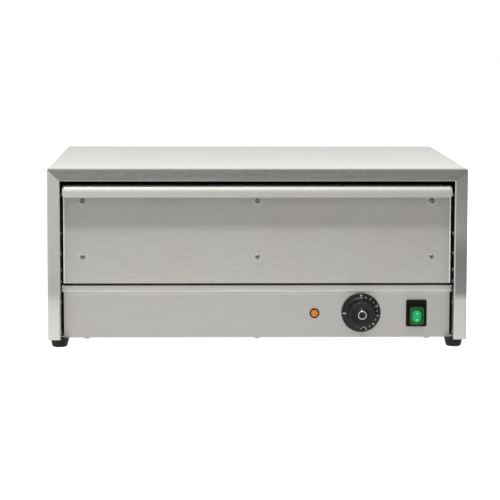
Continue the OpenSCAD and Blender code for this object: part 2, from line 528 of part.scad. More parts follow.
// rocker, drawn pressed in at the bottom
module switch_rocker() color([0.1, 0.7, 0.42]) translate([switch_x, yp + 2, zw]) rotate([8, 0, 0]) {
  difference() {
    union() {
      bar(-7.2, 7.2, -9.4, 0, -9, 9);
      bar(-5.6, 5.6, -10.2, -9.3, -7.7, 7.7);
      xcyl(0, 0, -7.2, 7.2, 2.4, 24);
    }
    xcyl(-29.8, 0, -8, 8, 20, 64);
  }
}
module switch_boot() color([0.3, 0.5, 0.3]) difference() {
  union() {
    bar(switch_x - 9.15, switch_x + 9.15, yp - 12, yp - 1, zw - 11.3, zw + 11.3);
    bar(switch_x - 9.8, switch_x + 9.8, yp - 2.2, yp - 1, zw - 12, zw + 12);
  }
  bar(switch_x - 8.15, switch_x + 8.15, yp - 11, yp, zw - 10.6, zw + 10.6);
}

// ---------- wiring ----------
tbx = 100;
tby = yb - 70;
module terminal_block() color([0.9, 0.89, 0.85]) {
  z0 = zb + t + 1.4;
  bar(tbx - 26, tbx + 26, tby - 9, tby + 9, z0, z0 + 8);
  for (i = [-2:2]) difference() {
    bar(tbx + 10 * i - 4.2, tbx + 10 * i + 4.2, tby - 8, tby + 8, z0 + 8, z0 + 17);
    ycyl(tbx + 10 * i, z0 + 11, tby - 9, tby + 9, 2, 20);
    for (s = [-1, 1]) zcyl(tbx + 10 * i, tby + 4.5 * s, z0 + 12, z0 + 18, 1.8, 20);
  }
}
module earth_stud() color([0.8, 0.68, 0.35]) {
  zcyl(-150, yb - 60, zb + t - 0.4, zb + 22, 2, 24);
  for (z = [zb + t + 1.4, zb + t + 6.2]) difference() {
    zcyl(-150, yb - 60, z, z + 3, 4, 6);
    zcyl(-150, yb - 60, z - 1, z + 4, 2, 24);
  }
}
module cable_gland() color([0.12, 0.12, 0.12]) difference() {
  union() {
    ycyl(gland_x, zg, yb - 16, yb + 1, 9.9, 48);
    ycyl(gland_x, zg, yb, yb + 5, 13, 6);
    ycyl(gland_x, zg, yb + 4, yb + 11, 8.6, 48);
  }
  ycyl(gland_x, zg, yb - 17, yb + 12, gland_bore / 2, 48);
}
module gland_dome_nut() color([0.12, 0.12, 0.12]) translate([gland_x, yb, zg]) rotate([-90, 0, 0]) difference() {
  union() {
    rotate_extrude($fn = 48) polygon([[gland_bore / 2 + 0.4, 11.2], [8.9, 11.2], [8.9, 5.2], [11, 5.2], [11, 10.6],
      [10, 12.6], [8, 13.7], [6.4, gland_proud], [gland_bore / 2 + 0.4, gland_proud]]);
    for (i = [0:11]) rotate(30 * i) translate([10.6, -1.2, 5.2]) cube([1.2, 2.4, 5]);
  }
}
module gland_locknut() color([0.12, 0.12, 0.12]) difference() {
  ycyl(gland_x, zg, yb - t - 5.4, yb - t - 0.2, 14, 6);
  ycyl(gland_x, zg, yb - t - 7, yb - t + 1, 10.1, 48);
}
z_tb = zb + t + 12.4;
// runs from the terminals to the switch, lamp, thermostat, element and cut-out
wire_runs = [
  [[tbx - 20, tby - 5, z_tb], [tbx - 22, tby - 40, z_tb], [60, 20, 30], [62, -80, 28], [lamp_x - 2.4, yp + 60, 30], [lamp_x - 2.4, yp + 42, zc - 2], [lamp_x - 2.4, yp + 29, zc]],
  [[tbx - 10, tby - 5, z_tb], [tbx - 11, tby - 40, z_tb], [92, 20, 28], [100, -80, 27], [knob_x - 10, yp + 70, 29], [knob_x - 10, yp + 46, zk - 9], [knob_x - 10, yp + 36, zk - 8]],
  [[tbx, tby - 5, z_tb], [tbx + 2, tby - 40, z_tb], [122, 20, 30], [140, -80, 30], [knob_x + 12, yp + 70, 30], [knob_x + 10, yp + 46, zk - 9], [knob_x + 10, yp + 36, zk - 8]],
  [[tbx + 10, tby - 5, z_tb], [tbx + 14, tby - 40, z_tb], [160, 20, 26], [185, -80, 26], [switch_x, yp + 70, 26], [switch_x, yp + 44, zc - 9.5], [switch_x, yp + 32.4, zc - 9]],
  [[tbx + 20, tby - 5, z_tb], [tbx + 26, tby - 40, z_tb], [190, 20, 30], [212, -80, 34], [switch_x + 2, yp + 70, 44], [switch_x, yp + 46, zc + 1], [switch_x, yp + 32.4, zc]],
  [[tbx - 20, tby + 5, z_tb], [tbx - 22, tby + 24, z_tb], [40, 150, 30], [-60, 152, 26], [-148, 148, 24], [-150, 142, 23.6], [-150, 138, 23.5]],
  [[tbx + 10, tby + 5, z_tb], [tbx + 14, tby + 24, z_tb], [150, 158, 36], [204, 140, 52], [214, 112, 62], [206, h_y + 180, zh], [h_x + 32.4, h_y + 180, zh]],
  [[knob_x + 10, yp + 36, zk + 8], [knob_x + 13, yp + 50, zk + 8], [190, -112, 54], [214, -90, 60], [206, h_y, zh], [h_x + 32.4, h_y, zh]]];
module wiring_harness() color([0.75, 0.2, 0.12])
  for (w = wire_runs) tube_along(smooth(w, 4), 1.3, 8);

outer_casing();
front_stiffener_left();
front_stiffener_right();
frame_rivets();
base_plate();
base_screws();
rear_panel();
rear_panel_screws();
chamber_liner();
insulation_wrap();
insulation_rear();
front_rail();
control_panel();
foot_front_left();
foot_front_right();
foot_rear_left();
foot_rear_right();
foot_screws();
slide_outer_left();
slide_outer_right();
slide_rivets();
tub_rivets();
slide_middle_left();
slide_middle_right();
ball_cages_left();
ball_cages_right();
slide_inner_left();
slide_inner_right();
drawer_box();
drawer_front();
drawer_front_screws();
drawer_front_nuts();
heating_element();
heater_brackets();
heat_spreader();
thermal_cutout();
thermostat_body();
thermostat_capillary();
sensing_bulb();
thermostat_spindle();
thermostat_knob();
knob_cap();
pilot_lamp_bezel();
pilot_lamp_lens();
pilot_lamp_body();
switch_housing();
switch_rocker();
switch_boot();
terminal_block();
earth_stud();
cable_gland();
gland_dome_nut();
gland_locknut();
wiring_harness();
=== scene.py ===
import bpy, bmesh, math, json
from mathutils import Vector, Matrix

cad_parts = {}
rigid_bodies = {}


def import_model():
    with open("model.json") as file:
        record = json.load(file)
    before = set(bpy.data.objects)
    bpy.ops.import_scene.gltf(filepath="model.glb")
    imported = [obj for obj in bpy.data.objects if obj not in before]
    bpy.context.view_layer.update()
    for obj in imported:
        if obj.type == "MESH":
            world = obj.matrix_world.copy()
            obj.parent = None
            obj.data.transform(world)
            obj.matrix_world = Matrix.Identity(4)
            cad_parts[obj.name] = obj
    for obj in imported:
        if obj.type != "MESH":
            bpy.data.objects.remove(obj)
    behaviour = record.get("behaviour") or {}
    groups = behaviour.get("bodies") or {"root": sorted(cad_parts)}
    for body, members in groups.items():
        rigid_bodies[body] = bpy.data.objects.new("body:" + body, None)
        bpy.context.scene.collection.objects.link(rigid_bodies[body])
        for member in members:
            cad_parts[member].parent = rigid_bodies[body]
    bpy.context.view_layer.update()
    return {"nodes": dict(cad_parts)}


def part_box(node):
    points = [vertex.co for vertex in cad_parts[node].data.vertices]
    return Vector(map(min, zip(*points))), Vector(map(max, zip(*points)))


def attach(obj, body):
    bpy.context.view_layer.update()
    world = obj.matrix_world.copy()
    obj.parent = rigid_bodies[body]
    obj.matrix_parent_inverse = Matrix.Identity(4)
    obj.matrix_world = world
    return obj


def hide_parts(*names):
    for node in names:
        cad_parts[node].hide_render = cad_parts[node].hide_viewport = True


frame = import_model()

MM = 0.001
NODES = frame["nodes"]

def nb(name):
    lo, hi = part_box(name)
    return [v * 1000 for v in lo], [v * 1000 for v in hi]

# ------------------------------------------------------------------ camera
scene = bpy.context.scene
scene.view_settings.view_transform = "Standard"
scene.view_settings.look = "None"
scene.view_settings.exposure = 0.0
scene.view_settings.gamma = 1.0
pitch, yaw, roll = math.radians(5.3956), math.radians(1.41), math.radians(0.1197)
fwd = Vector((math.sin(yaw) * math.cos(pitch), math.cos(yaw) * math.cos(pitch), -math.sin(pitch)))
right = Vector((math.cos(yaw), -math.sin(yaw), 0))
up = right.cross(fwd)
r2 = right * math.cos(roll) + up * math.sin(roll)
u2 = -right * math.sin(roll) + up * math.cos(roll)
cam_data = bpy.data.cameras.new("camera")
cam = bpy.data.objects.new("camera", cam_data)
scene.collection.objects.link(cam)
m = Matrix((r2, u2, -fwd)).transposed().to_4x4()
m.translation = Vector((-0.06888, -2.60242, 0.42789))
cam.matrix_world = m
cam_data.lens = 1918.69 / 500 * 36
cam_data.sensor_width = 36
cam_data.shift_y = -0.12
cam_data.clip_start, cam_data.clip_end = 0.05, 60
scene.camera = cam

# ------------------------------------------------------------------ node helpers
def new_mat(name):
    mat = bpy.data.materials.new(name)
    mat.use_nodes = True
    nt = mat.node_tree
    b = nt.nodes["Principled BSDF"]
    return mat, nt, b

def n(nt, kind, **kw):
    node = nt.nodes.new(kind)
    for k, v in kw.items():
        if k in node.inputs.keys():
            node.inputs[k].default_value = v
        else:
            setattr(node, k, v)
    return node

def coord(nt, scale=(1, 1, 1), loc=(0, 0, 0), rot=(0, 0, 0)):
    tc = nt.nodes.new("ShaderNodeTexCoord")
    mp = nt.nodes.new("ShaderNodeMapping")
    mp.inputs["Scale"].default_value = scale
    mp.inputs["Location"].default_value = loc
    mp.inputs["Rotation"].default_value = rot
    nt.links.new(tc.outputs["Object"], mp.inputs["Vector"])
    return mp.outputs["Vector"]

def noise(nt, vec, scale=1.0, detail=3.0, rough=0.55):
    k = nt.nodes.new("ShaderNodeTexNoise")
    k.inputs["Scale"].default_value = scale
    k.inputs["Detail"].default_value = detail
    k.inputs["Roughness"].default_value = rough
    nt.links.new(vec, k.inputs["Vector"])
    return k.outputs["Fac"]

def ramp(nt, fac, stops):
    r = nt.nodes.new("ShaderNodeValToRGB")
    els = r.color_ramp.elements
    while len(els) < len(stops):
        els.new(0.5)
    for e, (p, c) in zip(els, stops):
        e.position = p
        e.color = (*c, 1) if len(c) == 3 else c
    nt.links.new(fac, r.inputs["Fac"])
    return r.outputs["Color"]

def rng(nt, fac, a, b, c, d, smooth=False):
    k = nt.nodes.new("ShaderNodeMapRange")
    k.clamp = True
    if smooth:
        k.interpolation_type = "SMOOTHSTEP"
    for s, v in zip(("From Min", "From Max", "To Min", "To Max"), (a, b, c, d)):
        k.inputs[s].default_value = v
    nt.links.new(fac, k.inputs["Value"])
    return k.outputs["Result"]

def mixc(nt, fac, a, b, mode="MIX"):
    k = nt.nodes.new("ShaderNodeMix")
    k.data_type = "RGBA"
    k.blend_type = mode
    for sock, v in ((k.inputs[0], fac), (k.inputs[6], a), (k.inputs[7], b)):
        if isinstance(v, (int, float)):
            sock.default_value = v
        elif isinstance(v, tuple):
            sock.default_value = (*v, 1) if len(v) == 3 else v
        else:
            nt.links.new(v, sock)
    return k.outputs[2]

def math_(nt, op, a, b=None):
    k = nt.nodes.new("ShaderNodeMath")
    k.operation = op
    for sock, v in zip(k.inputs, (a, b)):
        if v is None:
            continue
        if isinstance(v, (int, float)):
            sock.default_value = v
        else:
            nt.links.new(v, sock)
    return k.outputs[0]

def bump(nt, b, height, strength, dist):
    k = nt.nodes.new("ShaderNodeBump")
    k.inputs["Strength"].default_value = strength
    k.inputs["Distance"].default_value = dist
    nt.links.new(height, k.inputs["Height"])
    nt.links.new(k.outputs["Normal"], b.inputs["Normal"])

GRAIN = {"x": (14, 1500, 1500), "y": (1500, 14, 1500), "z": (1500, 1500, 14)}
SPECK = {"x": (160, 520, 520), "y": (520, 160, 520), "z": (520, 520, 160)}
STREAK = {"x": (3, 260, 260), "y": (260, 3, 260), "z": (260, 260, 3)}

def steel(name, grain="x", base=(0.62, 0.61, 0.59), rough=0.3, var=0.07, bmp=0.12, painted_light_tones=None, along="z", aniso=0.0, tangent="X", rings=None, sheen=None, metal=1.0):
    """Brushed stainless sheet: fine grain lines, broader streaks, soft blotches and slight handling marks.
    tones: (mm, factor, mm, factor ...) along one axis of the object, multiplied into the colour as painted light and
    shade.
    sheen: (mm, mm, change of roughness below the first), along the same axis as the tones.
    rings: (x centres, z centres, (mm, factor, ...) by distance from the nearest centre)."""
    mat, nt, b = new_mat(name)
    g = noise(nt, coord(nt, GRAIN[grain]), 1.0, 4.0, 0.65)
    s = noise(nt, coord(nt, STREAK[grain], loc=(3.1, 1.7, 5.3)), 1.0, 3.0, 0.5)
    bl = noise(nt, coord(nt, (9, 9, 9), loc=(0.4, 2.2, 1.1)), 1.0, 3.0, 0.5)
    smudge = noise(nt, coord(nt, (26, 26, 26), loc=(7.4, 2.2, 8.1)), 1.0, 5.0, 0.6)
    sp = noise(nt, coord(nt, SPECK[grain], loc=(1.4, 6.2, 0.3)), 1.0, 2.0, 0.6)
    mixed = math_(nt, "ADD", math_(nt, "MULTIPLY", g, 0.5), math_(nt, "ADD", math_(nt, "MULTIPLY", s, 0.12), math_(nt, "MULTIPLY", sp, 0.38)))
    lo = tuple(c * (1 - var) for c in base)
    hi = tuple(min(1, c * (1 + var)) for c in base)
    col = ramp(nt, mixed, [(0.36, lo), (0.64, hi)])
    # faint warm and cool drift over the sheet
    tint = ramp(nt, bl, [(0.35, (0.985, 1.0, 1.0)), (0.65, (1.0, 0.992, 0.975))])
    col = mixc(nt, 1.0, col, tint, "MULTIPLY")
    # painted light and shade: brighten or darken the sheet by position along one axis
    if painted_light_tones:
        tc = nt.nodes.new("ShaderNodeTexCoord")
        ax = nt.nodes.new("ShaderNodeSeparateXYZ")
        nt.links.new(tc.outputs["Object"], ax.inputs[0])
        wob = math_(nt, "ADD", ax.outputs["xyz".index(along)], math_(nt, "MULTIPLY", math_(nt, "SUBTRACT", bl, 0.5), 0.006))
        t0, t1 = painted_light_tones[0], painted_light_tones[-2]
        tone = ramp(nt, rng(nt, wob, t0 * MM, t1 * MM, 0.0, 1.0), [((p - t0) / (t1 - t0), (v, v, v)) for p, v in zip(painted_light_tones[0::2], painted_light_tones[1::2])])
        col = mixc(nt, 1.0, col, tone, "MULTIPLY")
    # painted highlight and shade: rings round each screw centre, set by distance from it
    if rings:
        tc = nt.nodes.new("ShaderNodeTexCoord")
        ax = nt.nodes.new("ShaderNodeSeparateXYZ")
        nt.links.new(tc.outputs["Object"], ax.inputs[0])
        sq = []
        for sock, centres in ((ax.outputs["X"], rings[0]), (ax.outputs["Z"], rings[1])):
            d = None
            for c in centres:
                e = math_(nt, "ABSOLUTE", math_(nt, "SUBTRACT", sock, c * MM))
                d = e if d is None else math_(nt, "MINIMUM", d, e)
            sq.append(math_(nt, "MULTIPLY", d, d))
        rad = math_(nt, "SQRT", math_(nt, "ADD", *sq))
        r1 = rings[2][-2]
        halo = ramp(nt, rng(nt, rad, 0.0, r1 * MM, 0.0, 1.0), [(p / r1, (v, v, v)) for p, v in zip(rings[2][0::2], rings[2][1::2])])
        col = mixc(nt, 1.0, col, halo, "MULTIPLY")
    nt.links.new(col, b.inputs["Base Color"])
    b.inputs["Metallic"].default_value = metal
    if aniso:
        b.inputs["Anisotropic"].default_value = aniso
        tg = nt.nodes.new("ShaderNodeTangent")
        tg.direction_type = "RADIAL"
        tg.axis = tangent
        nt.links.new(tg.outputs[0], b.inputs["Tangent"])
    r = math_(nt, "ADD", rng(nt, mixed, 0.3, 0.7, rough - 0.05, rough + 0.05),
              rng(nt, smudge, 0.5, 0.75, 0.0, 0.06, True))
    if sheen:
        r = math_(nt, "ADD", r, rng(nt, wob, sheen[0] * MM, sheen[1] * MM, sheen[2], 0.0, True))
    nt.links.new(r, b.inputs["Roughness"])
    bump(nt, b, mixed, bmp, 0.00012)
    return mat

def plastic(name, base, rough=0.4, grain=900, bmp=0.08, var=0.12, spec=0.5):
    mat, nt, b = new_mat(name)
    f = noise(nt, coord(nt), grain, 3.0, 0.6)
    w = noise(nt, coord(nt, loc=(2, 5, 1)), 60, 4.0, 0.6)
    col = ramp(nt, w, [(0.3, tuple(c * (1 - var) for c in base)), (0.7, tuple(min(1, c * (1 + var)) for c in base))])
    nt.links.new(col, b.inputs["Base Color"])
    nt.links.new(math_(nt, "ADD", rng(nt, f, 0.3, 0.7, rough - 0.05, rough + 0.05), rng(nt, w, 0.5, 0.8, 0.0, 0.08)), b.inputs["Roughness"])
    b.inputs["Specular IOR Level"].default_value = spec
    bump(nt, b, f, bmp, 0.0001)
    return mat

M = {}
SCX, SCZ = 221.0, (115.0, 185.2)
# drawer face: painted light, brighter just under the pull and along the bottom, a touch darker mid-face; painted
# highlight ring round each screw head
M["face"] = steel("drawer_face_steel", "x", (0.575, 0.56, 0.536), 0.56, var=0.085, aniso=0.6, painted_light_tones=(81, 1.08, 120, 1.02, 150, 0.965, 170, 1.0, 190, 1.13, 207, 1.16),
                  rings=((-SCX, 0, SCX), SCZ, (0, 0.92, 3.5, 0.95, 4.1, 1.28, 4.9, 1.2, 5.8, 1.0)))
# screw heads: painted shade in the cross recess and round the rim of each head
M["screw"] = steel("face_screw_steel", "x", (0.56, 0.55, 0.535), 0.5, var=0.1,
                   rings=((-SCX, 0, SCX), SCZ, (0, 0.1, 0.9, 0.14, 1.5, 0.8, 2.6, 0.9, 3.7, 0.7)))
# hem: painted highlight, a near-white half-metal copy of the face steel so the folded edges read bright
M["hem"] = steel("hem_painted_highlight", "x", (0.93, 0.92, 0.90), 0.6, var=0.02, metal=0.35)
# pull: painted light, lighter at the left end and darker at the right
M["pull"] = steel("pull_steel", "x", (0.70, 0.69, 0.668), 0.69, var=0.035, aniso=0.0, painted_light_tones=(-245, 1.06, 0, 0.99, 245, 0.92), along="x")
# control panel: painted highlight in a band along its top, just below the rail
M["panel"] = steel("panel_steel", "x", (0.615, 0.60, 0.576), 0.54, var=0.06, aniso=0.6, painted_light_tones=(11, 1.02, 64.5, 1.0, 67.0, 1.18, 69.0, 1.3))
# rail: painted highlights along its lower and upper bends
M["rail"] = steel("rail_steel", "x", (0.74, 0.73, 0.705), 0.46, var=0.04, aniso=0.4, painted_light_tones=(69.5, 1.2, 70.8, 1.2, 71.8, 1.02, 78.0, 1.0, 79.0, 1.3))
# fascia: painted light, a little lighter at the left than at the right
M["fascia"] = steel("fascia_steel", "x", (0.43, 0.42, 0.403), 0.32, var=0.22, painted_light_tones=(-265, 1.05, 265, 0.97), along="x")
# cheeks: painted reflection, darker bands in their upper part and a bright band near the bottom; the right cheek is
# painted darker than the left
M["cheek_l"] = steel("cheek_steel_left_painted_reflection", "z", (0.97, 0.96, 0.935), 0.4, var=0.03, aniso=0.5, tangent="Z", sheen=(52, 72, -0.2),
                     painted_light_tones=(11, 1.0, 52, 1.0, 62, 0.95, 70, 0.80, 80, 0.76, 98, 0.83, 149, 0.895, 200, 0.955, 228, 0.96))
M["cheek_r"] = steel("cheek_steel_right_painted_reflection", "z", (0.96, 0.95, 0.93), 0.4, var=0.04, aniso=0.5, tangent="Z", sheen=(52, 72, -0.12),
                     painted_light_tones=(11, 1.0, 60, 1.0, 70, 0.45, 98, 0.40, 118, 0.40, 150, 0.585, 190, 0.52, 228, 0.455))
# roof: painted light, lighter at the front edge and darker towards the back
M["roof"] = steel("roof_steel", "x", (0.72, 0.71, 0.695), 0.4, var=0.02, bmp=0.04, painted_light_tones=(-205, 1.13, -100, 1.02, 195, 0.83), along="y")
M["wall"] = steel("side_wall_steel", "y", (0.64, 0.63, 0.61), 0.38, aniso=0.5, tangent="Y")
# returns: painted shade, near black from about 76 mm up beside the drawer and grey lower down beside the control panel
M["returns"] = steel("return_steel_painted_shade", "z", (0.5, 0.49, 0.475), 0.5, painted_light_tones=(11, 0.5, 60, 0.4, 76, 0.05, 228, 0.03))
# bend: painted highlight, a lighter copy of the steel for the inner bends of the side frame
M["bend"] = steel("bend_painted_highlight", "z", (0.80, 0.79, 0.77), 0.5, var=0.05)
# bend_top: painted shade, a darker copy on the rounded edge where the top frame meets the roof
M["bend_top"] = steel("bend_top_painted_shade", "x", (0.34, 0.33, 0.32), 0.7, var=0.06)
M["plain"] = steel("mill_steel", "y", (0.52, 0.525, 0.53), 0.38, var=0.06)
M["tub"] = steel("tub_steel", "y", (0.62, 0.62, 0.615), 0.33, var=0.06)
M["zinc"] = steel("zinc_plate", "y", (0.56, 0.57, 0.58), 0.3, var=0.1)
M["fast"] = steel("fastener_steel", "x", (0.52, 0.51, 0.50), 0.4, var=0.1)
M["rivet"] = steel("rivet_steel", "x", (0.26, 0.255, 0.25), 0.5, var=0.15)
# chamber liner: painted shadow, near black along its front edge
M["liner"] = steel("liner_steel", "y", (0.62, 0.62, 0.615), 0.36, var=0.06, painted_light_tones=(-179, 0.03, -172, 0.03, -120, 0.9, 170, 1.0), along="y")
M["ball"] = steel("bearing_steel", "x", (0.5, 0.5, 0.49), 0.18, var=0.1)
M["alu"] = steel("spreader_alu", "x", (0.74, 0.745, 0.75), 0.36)
M["sheath"] = steel("element_sheath", "x", (0.22, 0.19, 0.165), 0.42, var=0.3)
M["copper"] = steel("copper_tube", "x", (0.62, 0.33, 0.2), 0.3, var=0.15)
M["brass"] = steel("brass_stud", "z", (0.62, 0.47, 0.2), 0.28, var=0.1)
M["chrome"] = steel("satin_chrome", "x", (0.80, 0.80, 0.80), 0.2, var=0.04, bmp=0.04)
M["chrome_dark"] = steel("cap_centre", "x", (0.045, 0.045, 0.046), 0.42, var=0.08)
M["gap"] = steel("shaded_steel", "z", (0.07, 0.07, 0.07), 0.5, var=0.1)
M["black"] = plastic("black_nylon", (0.013, 0.013, 0.014), 0.42)
M["bezel"] = plastic("bezel_black", (0.0035, 0.0035, 0.0035), 0.45, spec=0.16)
M["knob"] = plastic("knob_phenolic", (0.008, 0.008, 0.0085), 0.38, bmp=0.05, spec=0.36)
M["rubber"] = plastic("foot_rubber", (0.0065, 0.0065, 0.007), 0.55, grain=1400, bmp=0.25, var=0.25, spec=0.3)
M["cream"] = plastic("terminal_nylon", (0.72, 0.69, 0.6), 0.42)
M["wire"] = plastic("wire_sleeve", (0.38, 0.045, 0.03), 0.45)
M["wool"] = plastic("mineral_wool", (0.10, 0.092, 0.075), 0.95, grain=380, bmp=0.9, var=0.3)
M["print"] = plastic("scale_print", (0.5, 0.5, 0.485), 0.5, var=0.05)
M["print_pale"] = plastic("switch_print", (0.72, 0.88, 0.76), 0.5, var=0.03)

def lit(name, base, emit, strength, rough=0.3, var=0.12, scale=420, coat=0.2, spec=0.3):
    """Translucent tinted plastic with a faint emission: the lamp lens and the rocker glow from their own lamps, the
    boot shell with a painted glow.
    """
    mat, nt, b = new_mat(name)
    f = noise(nt, coord(nt), scale, 2.0, 0.5)
    col = ramp(nt, f, [(0.3, tuple(c * (1 - var) for c in base)), (0.7, tuple(min(1, c * (1 + var)) for c in base))])
    nt.links.new(col, b.inputs["Base Color"])
    em = ramp(nt, f, [(0.3, tuple(c * (1 - var) for c in emit)), (0.7, emit)])
    nt.links.new(em, b.inputs["Emission Color"])
    b.inputs["Emission Strength"].default_value = strength
    nt.links.new(rng(nt, f, 0.3, 0.7, rough - 0.05, rough + 0.08), b.inputs["Roughness"])
    b.inputs["Specular IOR Level"].default_value = spec
    b.inputs["Coat Weight"].default_value = coat
    b.inputs["Coat Roughness"].default_value = 0.12
    bump(nt, b, f, 0.12, 0.0002)
    return mat

M["amber"] = lit("amber_lens", (0.30, 0.10, 0.006), (0.80, 0.22, 0.012), 0.34, coat=0.05)
M["green"] = lit("rocker_green", (0.001, 0.12, 0.034), (0.002, 0.31, 0.088), 1.0, var=0.03, coat=0.0, spec=0.06)
# boot shell: painted glow for the rocker lamp's light shining through the boot
M["green_dim"] = lit("boot_green_painted_glow", (0.012, 0.048, 0.015), (0.028, 0.085, 0.03), 0.33, rough=0.45, var=0.08, coat=0.0, spec=0.15)
M["green_dark"] = lit("boot_shade", (0.008, 0.016, 0.007), (0.006, 0.012, 0.005), 0.1, rough=0.45, coat=0.0)

# ------------------------------------------------------------------ mesh helpers
def obj_from(name, verts, faces, mats, body, repl=(), idx=None, smooth=True, angle=32, weld=True):
    me = bpy.data.meshes.new(name)
    me.from_pydata([Vector(v) * MM for v in verts], [], faces)
    for mt in mats:
        me.materials.append(M[mt])
    if idx:
        for p, i in zip(me.polygons, idx):
            p.material_index = i
    bm = bmesh.new()
    bm.from_mesh(me)
    if weld:
        bmesh.ops.remove_doubles(bm, verts=bm.verts, dist=2e-6)
        bmesh.ops.dissolve_degenerate(bm, edges=bm.edges, dist=1e-6)
    bmesh.ops.recalc_face_normals(bm, faces=bm.faces)
    bm.to_mesh(me)
    bm.free()
    finish_mesh(me, smooth, angle)
    o = bpy.data.objects.new(name, me)
    scene.collection.objects.link(o)
    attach(o, body)
    if repl:
        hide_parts(*repl)
    return o

def finish_mesh(me, smooth=True, angle=32):
    if smooth:
        me.polygons.foreach_set("use_smooth", [True] * len(me.polygons))
        me.set_sharp_from_angle(angle=math.radians(angle))

def weighted(o):
    w = o.modifiers.new("weighted", "WEIGHTED_NORMAL")
    w.keep_sharp = True
    w.weight = 60
    return o

def bevel(o, width, seg=2, angle=35):
    b = o.modifiers.new("edges", "BEVEL")
    b.width = width * MM
    b.segments = seg
    b.limit_method = "ANGLE"
    b.angle_limit = math.radians(angle)
    b.use_clamp_overlap = True
    return weighted(o)

class Mesh:
    """Collects parts of one piece, in millimetres."""
    def __init__(self):
        self.v, self.f, self.i = [], [], []

    def add(self, verts, faces, mat=0):
        k = len(self.v)
        self.v += [tuple(v) for v in verts]
        self.f += [tuple(k + a for a in f) for f in faces]
        self.i += [mat] * len(faces) if isinstance(mat, int) else list(mat)

    def from_bm(self, bm, mat=0):
        bm.verts.ensure_lookup_table()
        bm.faces.ensure_lookup_table()
        bm.verts.index_update()
        self.add([v.co[:] for v in bm.verts], [[v.index for v in f.verts] for f in bm.faces], mat)
        bm.free()

    def box(self, x0, x1, y0, y1, z0, z1, r=0.0, seg=2, mat=0, edges=None):
        bm = bmesh.new()
        bmesh.ops.create_cube(bm, size=1)
        for v in bm.verts:
            v.co = Vector(((x0 + x1) / 2 + v.co.x * (x1 - x0), (y0 + y1) / 2 + v.co.y * (y1 - y0), (z0 + z1) / 2 + v.co.z * (z1 - z0)))
        if r > 0:
            es = [e for e in bm.edges if edges is None or edges(e)]
            bmesh.ops.bevel(bm, geom=es, offset=r, segments=seg, profile=0.5, affect="EDGES")
        self.from_bm(bm, mat)

    def lathe(self, prof, centre, axis="-y", seg=48, mat=0, wave=None):
        """prof: (radius, distance along axis). Turned round the axis through centre."""
        verts, faces = [], []
        for r, h in prof:
            for k in range(seg):
                a = 2 * math.pi * k / seg
                rr = r if wave is None else wave(r, h, a)
                p, q = rr * math.cos(a), rr * math.sin(a)
                if axis == "-y":
                    verts.append((centre[0] + p, centre[1] - h, centre[2] + q))
                elif axis == "+y":
                    verts.append((centre[0] + p, centre[1] + h, centre[2] + q))
                elif axis == "-z":
                    verts.append((centre[0] + p, centre[1] + q, centre[2] - h))
                elif axis == "+z":
                    verts.append((centre[0] + p, centre[1] + q, centre[2] + h))
        m_ = len(prof)
        for j in range(m_ - 1):
            for k in range(seg):
                a, b = j * seg + k, j * seg + (k + 1) % seg
                faces.append((a, b, b + seg, a + seg))
        if prof[0][0] > 1e-6:
            faces.append(tuple(range(seg - 1, -1, -1)))
        if prof[-1][0] > 1e-6:
            faces.append(tuple((m_ - 1) * seg + k for k in range(seg)))
        self.add(verts, faces, mat)

    def rrect_loft(self, cx, cz, rings, mat=0, seg=6, cap0=True, cap1=True):
        """rings: (y, half width, half height, corner radius, dz), lofted in order."""
        verts, faces = [], []
        cnt = 4 * (seg + 1)
        for y, w, h, r, dz in rings:
            for qx, qz, a0 in ((1, 1, 0), (-1, 1, 90), (-1, -1, 180), (1, -1, 270)):
                for s in range(seg + 1):
                    a = math.radians(a0 + 90 * s / seg)
                    verts.append((cx + qx * (w - r) + r * math.cos(a), y, cz + dz + qz * (h - r) + r * math.sin(a)))
        for j in range(len(rings) - 1):
            for k in range(cnt):
                a, b = j * cnt + k, j * cnt + (k + 1) % cnt
                faces.append((a, b, b + cnt, a + cnt))
        if cap0:
            faces.append(tuple(range(cnt)))
        if cap1:
            faces.append(tuple(len(rings) * cnt - 1 - k for k in range(cnt)))
        self.add(verts, faces, mat)

def put(mesh, name, mats, body, repl=(), angle=32, weighted_=True, bev=None):
    o = obj_from(name, mesh.v, mesh.f, mats, body, repl, idx=mesh.i, angle=angle)
    if bev:
        bevel(o, *bev)
    elif weighted_:
        weighted(o)
    return o

# ------------------------------------------------------------------ dimensions, from the frame
(cx0, cy0, cz0), (cx1, cy1, cz1) = nb("outer_casing")
XO, YF, ZB, ZT = cx1, cy0, cz0, cz1
T = 1.0
(px0, py0, pz0), (px1, py1, pz1) = nb("control_panel")
XD, YP = px1, py0
(dx0, dy0, dz0), (dx1, dy1, dz1) = nb("drawer_front")
YD, ZF, ZTOP = YF + 15.0, dz0, dz1
(fx0, fy0, fz0), (fx1, fy1, fz1) = nb("front_rail")
XI, ZOPEN = XO - 16.5, ZT - 16.0
YB = nb("rear_panel")[1][1]
RET = 24.0

